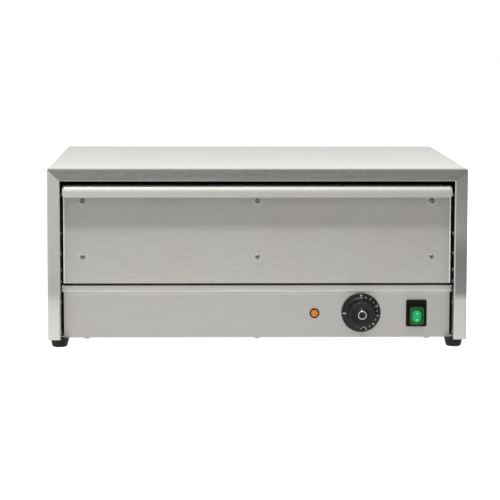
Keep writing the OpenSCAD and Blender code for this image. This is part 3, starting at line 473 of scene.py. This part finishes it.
# ------------------------------------------------------------------ casing
def casing():
    R, r = 2.0, 1.5
    prof = []  # (d outwards from the opening edge, y, on the front face)
    def arc(cd, cy, rad, a0, a1, k=5):
        return [(cd + rad * math.cos(math.radians(a0 + (a1 - a0) * i / k)), cy + rad * math.sin(math.radians(a0 + (a1 - a0) * i / k))) for i in range(k + 1)]
    w = XO - XI
    outer = [(0, YF + RET)] + arc(r, YF + r, r, 180, 270) + [(5, YF), (w - 5, YF)] + arc(w - R, YF + R, R, 270, 360, 6) + [(w, YF + 60), (w, YF + 200), (w, YB - T)]
    inner = [(w - T, YB - T), (w - T, YF + T + 1.0), (w - T - 1.0, YF + T), (T + 0.5, YF + T), (T, YF + T + 0.5), (T, YF + RET)]
    prof = outer + inner
    verts, faces, idx = [], [], []
    K = 6
    stations = [("L", 0)] + [("LT", k) for k in range(K + 1)] + [("M", 0)] + [("RT", k) for k in range(K + 1)] + [("R", 0)]
    fh = (ZT - ZOPEN) / w
    for kind, k in stations:
        for d, y in prof:
            dz = d * fh
            rad = max(0.0, R - (w - d)) if d > w - R else 0.0
            yy = y
            if kind in ("LT", "RT"):
                j = k if kind == "LT" else K - k
                a = math.radians(180 - 90 * j / K)
                if rad > 0:
                    x = XI + d - rad - rad * math.cos(a) * -1 * 1.0
                    x = XI + (d - rad) + rad * abs(math.cos(a))
                    z = ZOPEN + (d - rad) * fh + rad * math.sin(a)
                else:
                    x, z = XI + d, ZOPEN + dz
                    off = 0.16
                    if j < K / 2:
                        z -= off
                    elif j > K / 2:
                        x -= off
                    elif abs(y - YF) < 0.4:
                        yy = y + 0.22
                x = -x if kind == "LT" else x
            elif kind == "M":
                x, z = 0.0, ZOPEN + dz
            else:
                x, z = (-(XI + d) if kind == "L" else XI + d), ZB
            verts.append((x, yy, z))
    P = len(prof)
    nout = len(outer)
    for s in range(len(stations) - 1):
        ka, kb = stations[s], stations[s + 1]
        top = ka[0] in ("M",) or kb[0] in ("M",) or (ka[0] == "LT" and ka[1] >= K / 2) or (kb[0] == "RT" and kb[1] <= K / 2)
        left = ka[0] in ("L", "LT") and not top
        for q in range(P):
            q2 = (q + 1) % P
            a, b = s * P + q, s * P + q2
            faces.append((a, b, b + P, a + P))
            ym = (prof[q][1] + prof[q2][1]) / 2
            dm = (prof[q][0] + prof[q2][0]) / 2
            # material bands: returns get painted shade, the inner bend a painted highlight, the top outer edge painted
            # shade; fascia, cheeks and roof carry painted light
            if q >= nout - 1:
                mi = 5
            elif not top and dm < 1.5 and ym - YF < 1.05:
                mi = 6
            elif top and dm > w - 2.2 and ym - YF < 1.75:
                mi = 7
            elif ym > YF + 1.75 and dm > w / 2:
                mi = 3 if top else 4
            elif ym > YF + 1.3 and dm < w / 2:
                mi = 5
            else:
                mi = 0 if top else (1 if left else 2)
            idx.append(mi)
    faces.append(tuple(range(P)))
    faces.append(tuple(range(len(verts) - 1, len(verts) - P - 1, -1)))
    idx += [5, 5]
    ms = Mesh()
    ms.add(verts, faces, idx)
    put(ms, "casing_wrap", ["fascia", "cheek_l", "cheek_r", "roof", "wall", "returns", "bend", "bend_top"], "root", ["outer_casing"], angle=28)
    fl = Mesh()
    for s in (-1, 1):
        a, b = sorted((s * (XO - 30), s * (XO - T - 0.05)))
        fl.box(a, b, YP + 2.1, YB - T - 0.05, ZB, ZB + T, 0.3, 1)
        a, b = sorted((s * (XI + T + 0.02), s * (XO - T - 0.05)))
        fl.box(a, b, YF + T + 0.3, YP + 2.05, ZB, ZB + T, 0.3, 1)
        a, b = sorted((s * (XO - 13), s * (XO - T - 0.05)))
        fl.box(a, b, YB - 2 * T, YB - T - 0.02, ZB + 6, ZT - T - 0.05, 0.3, 1)
    fl.box(-XO + 13.2, XO - 13.2, YB - 2 * T, YB - T - 0.02, ZT - 13, ZT - T - 0.05, 0.3, 1)
    put(fl, "casing_flanges", ["plain"], "root")
casing()

# ------------------------------------------------------------------ drawer front with the folded pull
def drawer_front():
    R = 3.2        # rounding at the ends of the pull
    pr, pz, ph = 7.2, 8.6, 14.8
    def iny(ins):
        return ins if ins < 0.35 else 0.35 + (ins - 0.35) * 0.22
    ZL = ZTOP - ph
    def skin(ins, th):
        """section of the pull, inset by ins from its outer skin: (y, z)"""
        pts = [(YD + 0.4, ZTOP - ins)]
        pts.append((YF + pr + 0.01, ZTOP - ins))
        dy = iny(ins)
        for i in range(1, 12):
            a = math.radians(90 + 90 * i / 12)
            pts.append((YF + pr + (pr - dy) * math.cos(a), ZTOP - pz + (pz - ins) * math.sin(a)))
        pts.append((YF + dy, ZTOP - pz))
        pts.append((YF + dy, ZL + 4.2))
        pts.append((YF + dy, ZL + (ins if th == 0 else 0) * 1.15))
        return pts
    xs = []
    for i in range(7):
        a = math.radians(90 * i / 6)
        xs.append((XD - R + R * math.sin(a), R * (1 - math.cos(a))))
    st = [(-x, i) for x, i in reversed(xs)] + [(v, 0.0) for v in (-150, -50, 50, 150)] + xs
    ms = Mesh()
    verts, faces = [], []
    P = len(skin(0, 0))
    for x, ins in st:
        verts += [(x, y, z) for y, z in skin(ins, 0)]
    for s in range(len(st) - 1):
        for q in range(P - 1):
            a = s * P + q
            faces.append((a, a + 1, a + 1 + P, a + P))
    k = len(verts)
    st_in = [(max(-(XD - 1.2), min(XD - 1.2, x)), ins) for x, ins in st]
    for (x, ins), (x0, _) in zip(st_in, st):
        e = min(ins, 1.6)
        pts = skin(1.0 + e, 1)
        zb_ = verts[st.index((x0, ins)) * P + P - 1][2]
        pts[-1] = (YF + iny(1.0 + e), zb_)
        verts += [(x, y, z) for y, z in pts]
    for s in range(len(st) - 1):
        for q in range(P - 1):
            a = k + s * P + q
            faces.append((a, a + P, a + 1 + P, a + 1))
        # lower edge of the lip
        a, b = s * P + P - 1, k + s * P + P - 1
        faces.append((a, b, b + P, a + P))
    # closed ends
    for s, flip in ((0, False), (len(st) - 1, True)):
        ring = [s * P + q for q in range(P)]
        x = st[s][0]
        j = len(verts)
        verts += [(x, YD + 0.4, verts[ring[-1]][2])]
        f = tuple(ring + [j])
        faces.append(f if flip else f[::-1])
        ring = [k + s * P + q for q in range(P)]
        j = len(verts)
        verts += [(verts[ring[0]][0], YD + 0.4, verts[ring[-1]][2])]
        f = tuple(ring + [j])
        faces.append(f[::-1] if flip else f)
        faces.append((s * P + P - 1, len(verts) - 2, len(verts) - 1, k + s * P + P - 1))
    ms.add(verts, faces, 0)
    put(ms, "drawer_pull", ["pull"], "drawer", angle=40)
    # folded pan of the drawer face
    pan = Mesh()
    bm = bmesh.new()
    bmesh.ops.create_cube(bm, size=1)
    x0, x1, y0, y1, z0, z1 = -XD, XD, YD, YD + 10, ZF, ZTOP - 0.9
    for v in bm.verts:
        v.co = Vector(((x0 + x1) / 2 + v.co.x * (x1 - x0), (y0 + y1) / 2 + v.co.y * (y1 - y0), (z0 + z1) / 2 + v.co.z * (z1 - z0)))
    back = [f for f in bm.faces if f.normal.y > 0.9]
    bmesh.ops.delete(bm, geom=back, context="FACES")
    es = [e for e in bm.edges if not e.is_boundary]
    bmesh.ops.bevel(bm, geom=es, offset=0.55, segments=3, profile=0.5, affect="EDGES")
    bm.normal_update()
    front = [f for f in bm.faces if f.normal.y < -0.999]
    bmesh.ops.inset_region(bm, faces=front, thickness=1.5, depth=0.0)
    bm.normal_update()
    bm.faces.ensure_lookup_table()
    big = max((f for f in bm.faces if f.normal.y < -0.999), key=lambda f: f.calc_area())
    # the side bevels of the pan get the hem material: a painted highlight on the folded edges
    pan.from_bm(bm, [1 if f is not big and f.normal.y < -0.3 and abs(f.calc_center_median().x) > XD - 2.2 else 0 for f in bm.faces])
    o = obj_from("drawer_face", pan.v, pan.f, ["face", "hem"], "drawer", ["drawer_front"], idx=pan.i)
    s = o.modifiers.new("sheet", "SOLIDIFY")
    s.thickness = 1.0 * MM
    s.offset = -1
    weighted(o)
drawer_front()

# ------------------------------------------------------------------ rail
def rail():
    bm = bmesh.new()
    bmesh.ops.create_cube(bm, size=1)
    for v in bm.verts:
        v.co = Vector((v.co.x * (fx1 - fx0), (fy0 + fy0 + 14) / 2 + v.co.y * 14, (fz0 + fz1) / 2 + v.co.z * (fz1 - fz0)))
    bmesh.ops.delete(bm, geom=[f for f in bm.faces if f.normal.y > 0.9], context="FACES")
    bmesh.ops.bevel(bm, geom=[e for e in bm.edges if not e.is_boundary], offset=0.8, segments=4, profile=0.5, affect="EDGES")
    ms = Mesh()
    ms.from_bm(bm)
    o = obj_from("rail_channel", ms.v, ms.f, ["rail"], "root", ["front_rail"])
    s = o.modifiers.new("sheet", "SOLIDIFY")
    s.thickness = 1.0 * MM
    s.offset = -1
    weighted(o)
rail()

# ------------------------------------------------------------------ thermostat knob
(kx0, ky0, kz0), (kx1, ky1, kz1) = nb("thermostat_knob")
KX, KZ, KR = (kx0 + kx1) / 2, (kz0 + kz1) / 2, (kx1 - kx0) / 2
KY = ky1  # back of the skirt
def knob():
    GR = 17.3
    ms = Mesh()
    skirt = [(20.8, 1.6), (20.8, 0.0), (KR - 0.5, 0), (KR - 0.1, 0.35), (KR, 0.8), (KR, 1.5), (KR - 0.15, 1.95), (KR - 0.6, 2.3),
             (KR - 1.4, 2.45), (22.0, 2.6), (20.6, 2.9), (19.4, 3.5), (18.4, 4.4), (17.9, 5.2), (17.5, 6.2)]
    ms.lathe([(0, 1.6)] + skirt + [(10, 6.4), (0, 6.4)], (KX, KY, KZ), seg=96)
    def flute(r, h, a):
        if r < 14.6 or h < 5.0:
            return r
        k = 0.5 - 0.5 * math.cos(18 * a)
        return r - 0.75 * (1 - k ** 0.6) * min(1, (r - 14.6) / 1.5)
    grip = [(GR - 0.2, 5.2), (GR, 6.2), (GR - 0.35, 12), (GR - 0.7, 18.2), (GR - 0.85, 19.6), (GR - 1.25, 20.5), (GR - 1.9, 21.1), (GR - 2.7, 21.3),
            (GR - 3.6, 21.1), (GR - 5.2, 20.4), (GR - 7.2, 19.8), (9.4, 19.6), (8.7, 19.75), (8.3, 20.3), (7.9, 20.9), (7.3, 21.15), (6.2, 21.2), (5.95, 21.05), (5.9, 20.2), (0, 20.2)]
    ms.lathe(grip, (KX, KY, KZ), seg=180, wave=flute)
    put(ms, "knob_body", ["knob"], "knob", ["thermostat_knob"], angle=50)
    cap = Mesh()
    cap.lathe([(0, 20.3), (5.7, 20.3), (5.7, 22.7), (5.6, 23.1), (5.3, 23.4), (4.9, 23.5), (4.4, 23.4), (4.15, 23.1), (4.05, 22.6), (4.05, 21.9)], (KX, KY, KZ), seg=64)
    cap.lathe([(4.3, 22.0), (4.3, 22.6), (3.7, 22.3), (1.5, 22.3), (0, 22.3)], (KX, KY, KZ), seg=64, mat=1)
    put(cap, "knob_cap_disc", ["chrome", "chrome_dark"], "knob", ["knob_cap"])
    # printed scale: dots, figures, the pointer mark and the off bar
    pr = Mesh()
    def height(r):
        tab = [(KR, 1.5), (KR - 0.6, 2.3), (KR - 1.4, 2.45), (22.0, 2.6), (20.6, 2.9), (19.4, 3.5), (18.4, 4.4)]
        for (ra, ha), (rb, hb) in zip(tab, tab[1:]):
            if rb <= r <= ra:
                return ha + (hb - ha) * (ra - r) / (ra - rb)
        return 2.5 if r > 20 else 4.4
    def place(pts2, ang, rad):
        """pts2 in the print's own plane: x along the circle clockwise, y outwards."""
        out = []
        a = math.radians(ang)
        for x, y in pts2:
            r = rad + y
            px, pz = r * math.sin(a) + x * math.cos(a), r * math.cos(a) - x * math.sin(a)
            h = height(math.hypot(px, pz))
            out.append((KX + px, KY - h - 0.06, KZ + pz))
        return out
    def patch(pts2, tris, ang, rad):
        pr.add(place(pts2, ang, rad), tris)
    def dot(ang, rad, s):
        k = 12
        pts = [(0, 0)] + [(s * math.cos(2 * math.pi * i / k), s * math.sin(2 * math.pi * i / k)) for i in range(k)]
        patch(pts, [(0, 1 + i, 1 + (i + 1) % k) for i in range(k)], ang, rad)
    for a in (17, 50, 84, 116, 148, 180):
        dot(a, 20.6, 0.62)
    patch([(-1.6, 1.3), (1.6, 1.3), (0, -1.1)], [(0, 1, 2)], 0, 21.4)
    dot(0, 19.3, 0.55)
    patch([(-0.6, -2.0), (0.6, -2.0), (0.6, 2.0), (-0.6, 2.0)], [(0, 1, 2, 3)], 268, 21.3)
    for a, ch in ((34, "1"), (67, "2"), (100, "3"), (132, "4"), (163, "5")):
        cu = bpy.data.curves.new("fig", "FONT")
        cu.body = ch
        cu.size = 4.6
        cu.align_x = "CENTER"
        cu.align_y = "CENTER"
        cu.offset = 0.03
        cu.resolution_u = 3
        ob = bpy.data.objects.new("fig", cu)
        scene.collection.objects.link(ob)
        dg = bpy.context.evaluated_depsgraph_get()
        me = bpy.data.meshes.new_from_object(ob.evaluated_get(dg))
        pts = [(v.co.x, v.co.y) for v in me.vertices]
        tr = [tuple(p.vertices) for p in me.polygons]
        patch(pts, tr, a, 21.3)
        bpy.data.objects.remove(ob)
        bpy.data.curves.remove(cu)
        bpy.data.meshes.remove(me)
    o = obj_from("knob_scale", pr.v, pr.f, ["print"], "knob", smooth=False, weld=False)
    s = o.modifiers.new("ink", "SOLIDIFY")
    s.thickness = 0.05 * MM
    s.offset = 0
    d2 = Mesh()
    a = math.radians(173)
    d2.lathe([(0, 0.22), (0.45, 0.2), (0.62, 0.05), (0.62, -0.2), (0, -0.2)], (KX + 15.6 * math.sin(a), KY - 20.95, KZ + 15.6 * math.cos(a)), seg=20)
    put(d2, "knob_grip_dot", ["print"], "knob")
knob()

# ------------------------------------------------------------------ switch
(sx0, sy0, sz0), (sx1, sy1, sz1) = nb("switch_housing")
SX, SZ = (sx0 + sx1) / 2, (sz0 + sz1) / 2
SW = SZ - 2.4
def switch():
    bz = Mesh()
    W, H = (sx1 - sx0) / 2, (sz1 - sz0) / 2
    y = YP
    bz.rrect_loft(SX, SZ, [(y, W, H, 2.2, 0), (y - 1.5, W, H, 2.2, 0), (y - 2.1, W - 0.25, H - 0.25, 2.0, 0), (y - 2.4, W - 0.8, H - 0.8, 1.7, 0),
                           (y - 2.4, 11.2, 13.4, 1.5, -2.0), (y - 2.1, 10.4, 12.6, 1.2, -2.0), (y - 1.2, 10.1, 12.3, 1.0, -2.0), (y - 0.4, 10.05, 12.2, 1.0, -2.0), (y + 12, 10.05, 12.2, 1.0, -2.0)], cap0=False, cap1=False)
    bz.rrect_loft(SX, SZ, [(y, 10.8, 14.8, 0.6, 0), (y + 24, 10.8, 14.8, 0.6, 0)], cap0=False)
    bz.rrect_loft(SX, SZ - 2.0, [(y + 12, 10.05, 12.2, 1.0, 0), (y + 12.3, 0.5, 0.5, 0.2, 0)], cap0=False)
    for z in (-9, 0, 9):
        bz.box(SX - 3.2, SX + 3.2, y + 24, y + 32, SZ + z - 0.4, SZ + z + 0.4, 0.1, 1)
    put(bz, "switch_body", ["bezel"], "root", ["switch_housing"])
    # soft boot: skirt rising from the bezel, a rounded rim and a clear window
    bt = Mesh()
    bt.rrect_loft(SX, SW, [(y - 1.0, 9.9, 12.2, 2.0, 0), (y - 2.0, 9.9, 12.2, 2.0, 0), (y - 2.6, 9.4, 11.6, 2.4, 0), (y - 6.5, 9.2, 11.3, 3.2, 0), (y - 9.6, 9.1, 11.2, 3.8, 0)], mat=1, cap0=False, cap1=False)
    bt.rrect_loft(SX, SW, [(y - 9.6, 9.1, 11.2, 3.8, 0), (y - 10.9, 8.9, 11.0, 3.8, 0), (y - 11.6, 8.3, 10.4, 3.8, 0), (y - 11.9, 7.6, 9.7, 3.8, 0), (y - 11.7, 6.9, 9.0, 3.9, 0), (y - 11.2, 6.55, 8.6, 4.0, 0), (y - 10.6, 6.5, 8.55, 4.0, 0), (y - 10.2, 6.6, 8.7, 4.0, 0)], mat=0, cap0=False, cap1=False)
    put(bt, "switch_boot_shell", ["green_dim", "green_dark"], "root", ["switch_boot"], angle=60)
    wn = Mesh()
    wn.rrect_loft(SX, SW, [(y - 10.7, 6.7, 8.8, 2.9, 0), (y - 11.1, 5.6, 7.6, 2.6, 0), (y - 11.3, 3.6, 5.4, 2.2, 0), (y - 11.38, 1.2, 2.0, 0.8, 0)], cap0=False)
    o = put(wn, "switch_boot_window", ["window"], "root", angle=60)
    # rocker
    rk = Mesh()
    tilt = math.radians(8)
    def ring(yy, w, h, r):
        return (yy, w, h, r, 0)
    rk.rrect_loft(0, 0, [ring(0, 7.0, 8.8, 1.2), ring(-6.9, 6.5, 8.6, 1.6), ring(-7.5, 6.2, 8.3, 1.8), ring(-7.7, 5.7, 7.8, 1.8)], mat=1)
    pill = [ring(-7.4, 5.8, 7.9, 4.6), ring(-8.9, 5.8, 7.9, 4.6), ring(-9.5, 5.55, 7.65, 4.5), ring(-9.85, 5.0, 7.1, 4.2), ring(-10.05, 3.8, 5.9, 3.4), ring(-10.12, 2.0, 4.0, 1.8), ring(-10.14, 0.3, 1.2, 0.2)]
    rk.rrect_loft(0, 0, pill, mat=0)
    # I and O marks
    rk.box(-0.35, 0.35, -10.35, -10.0, 2.9, 5.6, 0.0, 1, mat=2)
    k = 28
    vs, fs = [], []
    for rad in (1.5, 0.85):
        for i in range(k):
            a = 2 * math.pi * i / k
            vs.append((rad * math.cos(a), -10.22, -4.35 + rad * math.sin(a)))
    for i in range(k):
        j = (i + 1) % k
        fs.append((i, j, j + k, i + k))
    vs2 = [(a, -9.7, c) for a, b_, c in vs]
    fs2 = [tuple(2 * k + q for q in reversed(f)) for f in fs] + [(i, 2 * k + i, 2 * k + (i + 1) % k, (i + 1) % k) for i in range(k)] + [(k + (i + 1) % k, 3 * k + (i + 1) % k, 3 * k + i, k + i) for i in range(k)]
    rk.add(vs + vs2, fs + fs2, 2)
    cy, sy = math.cos(tilt), math.sin(tilt)
    rk.v = [(SX + x, YP + 2 + y_ * cy - z_ * sy, SW + y_ * sy + z_ * cy) for x, y_, z_ in rk.v]
    put(rk, "rocker", ["green", "green_dark", "print_pale"], "switch", ["switch_rocker"], angle=40)

mat, nt, b = new_mat("boot_window")
f_ = noise(nt, coord(nt), 300, 2.0, 0.5)
nt.links.new(ramp(nt, f_, [(0.3, (0.30, 0.42, 0.30)), (0.7, (0.36, 0.48, 0.36))]), b.inputs["Base Color"])
nt.links.new(rng(nt, f_, 0.3, 0.7, 0.18, 0.3), b.inputs["Roughness"])
b.inputs["Alpha"].default_value = 0.025
M["window"] = mat
switch()

# ------------------------------------------------------------------ pilot lamp
(lx0, ly0, lz0), (lx1, ly1, lz1) = nb("pilot_lamp_bezel")
LX, LZ, LR = (lx0 + lx1) / 2, (lz0 + lz1) / 2, (lx1 - lx0) / 2
def lamp():
    bz = Mesh()
    bz.lathe([(4.7, -0.5), (4.7, 1.3), (4.85, 1.65), (5.15, 1.8), (5.6, 1.75), (6.0, 1.45), (LR, 0.9), (LR, 0.0), (4.7, -0.5)], (LX, YP, LZ), seg=64)
    o = put(bz, "lamp_ring", ["bezel"], "root", ["pilot_lamp_bezel"])
    ln = Mesh()
    prof = [(0, -1.0), (4.6, -1.0), (4.6, 1.4)]
    for i in range(1, 9):
        a = math.radians(90 * i / 9)
        prof.append((4.6 * math.cos(a), 1.5 + 2.0 * math.sin(a)))
    prof.append((0, 3.55))
    def facets(r, h, a):
        if h < 1.45 or r < 0.8:
            return r
        return r * (1 - 0.035 * (0.5 + 0.5 * math.cos(10 * a)))
    ln.lathe(prof, (LX, YP, LZ), seg=80, wave=facets)
    put(ln, "lamp_dome", ["amber"], "root", ["pilot_lamp_lens"], angle=60)
lamp()

# ------------------------------------------------------------------ feet
def feet():
    for nm in ("foot_front_left", "foot_front_right", "foot_rear_left", "foot_rear_right"):
        lo, hi = nb(nm)
        x, y, R, h = (lo[0] + hi[0]) / 2, (lo[1] + hi[1]) / 2, (hi[0] - lo[0]) / 2, hi[2]
        ms = Mesh()
        rt = 9.7
        prof = [(2.75, 4.0), (5.4, 4.0), (5.5, 3.8), (5.5, 0.4), (5.8, 0.05), (6.4, 0.0), (rt - 2.0, 0.0)]
        for i in range(1, 7):
            a = math.radians(270 + 76 * i / 6)
            prof.append((rt - 2 + 2 * math.cos(a), 2 + 2 * math.sin(a)))
        prof += [(rt + 1.0, 5.4), (R - 0.45, 9.2), (R - 0.15, 9.9), (R, 10.3), (R, 10.8), (R - 0.2, h), (2.75, h), (2.75, 4.0)]
        ms.lathe(prof, (x, y, 0), axis="+z", seg=64)
        ms.f = [f for f in ms.f if len(f) < 10]
        ms.i = [0] * len(ms.f)
        put(ms, nm + "_moulded", ["rubber"], "root", [nm], angle=45)
feet()

# ------------------------------------------------------------------ finishes on the pieces that stay as built in CAD
CARRY = {
    "front_stiffener_left": "gap", "front_stiffener_right": "gap", "frame_rivets": "rivet", "base_plate": "plain",
    "base_screws": "fast", "rear_panel": "plain", "rear_panel_screws": "fast", "chamber_liner": "liner",
    "insulation_wrap": "wool", "insulation_rear": "wool", "control_panel": "panel", "foot_screws": "fast",
    "slide_outer_left": "zinc", "slide_outer_right": "zinc", "slide_middle_left": "zinc", "slide_middle_right": "zinc",
    "ball_cages_left": "ball", "ball_cages_right": "ball", "slide_inner_left": "zinc", "slide_inner_right": "zinc",
    "drawer_box": "tub", "slide_rivets": "fast", "tub_rivets": "fast", "drawer_front_screws": "screw", "drawer_front_nuts": "fast", "heating_element": "sheath",
    "heater_brackets": "plain", "heat_spreader": "alu", "thermal_cutout": "black", "thermostat_body": "black",
    "thermostat_capillary": "copper", "sensing_bulb": "copper", "thermostat_spindle": "zinc", "pilot_lamp_body": "black",
    "terminal_block": "cream", "earth_stud": "brass", "cable_gland": "black", "gland_dome_nut": "black",
    "gland_locknut": "black", "wiring_harness": "wire",
}
BEV = {"control_panel": 0.35, "rear_panel": 0.3, "drawer_box": 0.35, "base_plate": 0.3, "chamber_liner": 0.25,
       "slide_outer_left": 0.3, "slide_outer_right": 0.3, "slide_middle_left": 0.3, "slide_middle_right": 0.3,
       "slide_inner_left": 0.3, "slide_inner_right": 0.3, "front_stiffener_left": 0.3, "front_stiffener_right": 0.3,
       "terminal_block": 0.3, "thermostat_body": 0.3}
for name, key in CARRY.items():
    o = NODES[name]
    if len(o.material_slots) == 0:
        o.data.materials.append(M[key])
    for s in o.material_slots:
        s.link = "OBJECT"
        s.material = M[key]
    if name in BEV:
        bevel(o, BEV[name], 2, 40)

# ------------------------------------------------------------------ floor, light and surroundings
me = bpy.data.meshes.new("floor")
me.from_pydata([(-9, -7, 0), (9, -7, 0), (9, 12, 0), (-9, 12, 0)], [], [(0, 1, 2, 3)])
floor = bpy.data.objects.new("floor", me)
scene.collection.objects.link(floor)
mat, nt, b = new_mat("floor_paper")
f_ = noise(nt, coord(nt), 6, 3.0, 0.5)
nt.links.new(ramp(nt, f_, [(0.3, (0.90, 0.90, 0.895)), (0.7, (0.915, 0.915, 0.91))]), b.inputs["Base Color"])
b.inputs["Roughness"].default_value = 0.9
b.inputs["Specular IOR Level"].default_value = 0.1
b.inputs["Emission Color"].default_value = (1, 1, 0.995, 1)
b.inputs["Emission Strength"].default_value = 0.75
me.materials.append(mat)
floor.visible_glossy = False

world = bpy.data.worlds.new("studio")
scene.world = world
world.use_nodes = True
wt = world.node_tree
wt.nodes.clear()
out = wt.nodes.new("ShaderNodeOutputWorld")
tc = wt.nodes.new("ShaderNodeTexCoord")
sp = wt.nodes.new("ShaderNodeSeparateXYZ")
wt.links.new(tc.outputs["Generated"], sp.inputs[0])
x_, y_, z_ = sp.outputs
front = rng(wt, y_, -0.75, -0.2, 1.0, 0.0, True)
band = math_(wt, "MULTIPLY", rng(wt, z_, -0.17, -0.12, 0.0, 1.0, True), rng(wt, z_, 0.15, 0.55, 1.0, 0.0, True))
dark = math_(wt, "MULTIPLY", front, band)
level = math_(wt, "SUBTRACT", 1.0, math_(wt, "MULTIPLY", dark, 0.66))
side = math_(wt, "MULTIPLY", rng(wt, x_, -0.15, 0.7, 0.0, 0.4, True), rng(wt, y_, 0.1, -0.3, 0.0, 1.0, True))
level = math_(wt, "MULTIPLY", level, math_(wt, "SUBTRACT", 1.0, side))
bg = wt.nodes.new("ShaderNodeBackground")
comb = mixc(wt, level, (0.0, 0.0, 0.0), (1.0, 0.995, 0.985))
wt.links.new(comb, bg.inputs["Color"])
bg.inputs["Strength"].default_value = 0.95
bg2 = wt.nodes.new("ShaderNodeBackground")
bg2.inputs["Color"].default_value = (1, 1, 1, 1)
bg2.inputs["Strength"].default_value = 1.0
lp = wt.nodes.new("ShaderNodeLightPath")
mx = wt.nodes.new("ShaderNodeMixShader")
wt.links.new(lp.outputs["Is Camera Ray"], mx.inputs[0])
wt.links.new(bg.outputs[0], mx.inputs[1])
wt.links.new(bg2.outputs[0], mx.inputs[2])
wt.links.new(mx.outputs[0], out.inputs[0])

def area(name, loc, target, size, power, color=(1, 1, 1), size_y=None):
    d = bpy.data.lights.new(name, "AREA")
    d.shape = "RECTANGLE" if size_y else "SQUARE"
    d.size = size
    if size_y:
        d.size_y = size_y
    d.energy = power
    d.color = color
    o = bpy.data.objects.new(name, d)
    scene.collection.objects.link(o)
    o.location = loc
    o.rotation_mode = "QUATERNION"
    o.rotation_quaternion = (Vector(target) - Vector(loc)).to_track_quat("-Z", "Y")
    return o
# key: high in front, a narrow soft box whose light falls at about 68 degrees
area("key", (-0.16, -0.2 - 0.90, 0.16 + 2.45), (0.0, -0.2, 0.16), 0.7, 40, (1.0, 0.99, 0.975), 0.2)

# small parts that stand proud of the panel cast no streaks from the key: only the sheet work shades it
key = bpy.data.objects["key"]
block = bpy.data.collections.new("key_blockers")
for o in list(bpy.data.objects):
    if o.type == "MESH" and not o.name.startswith(("knob", "switch", "rocker", "lamp", "rail", "floor", "thermostat_knob", "pilot")) and "screws" not in o.name and "rivets" not in o.name and "panel" not in o.name:
        if not o.hide_render:
            block.objects.link(o)
key.light_linking.blocker_collection = block
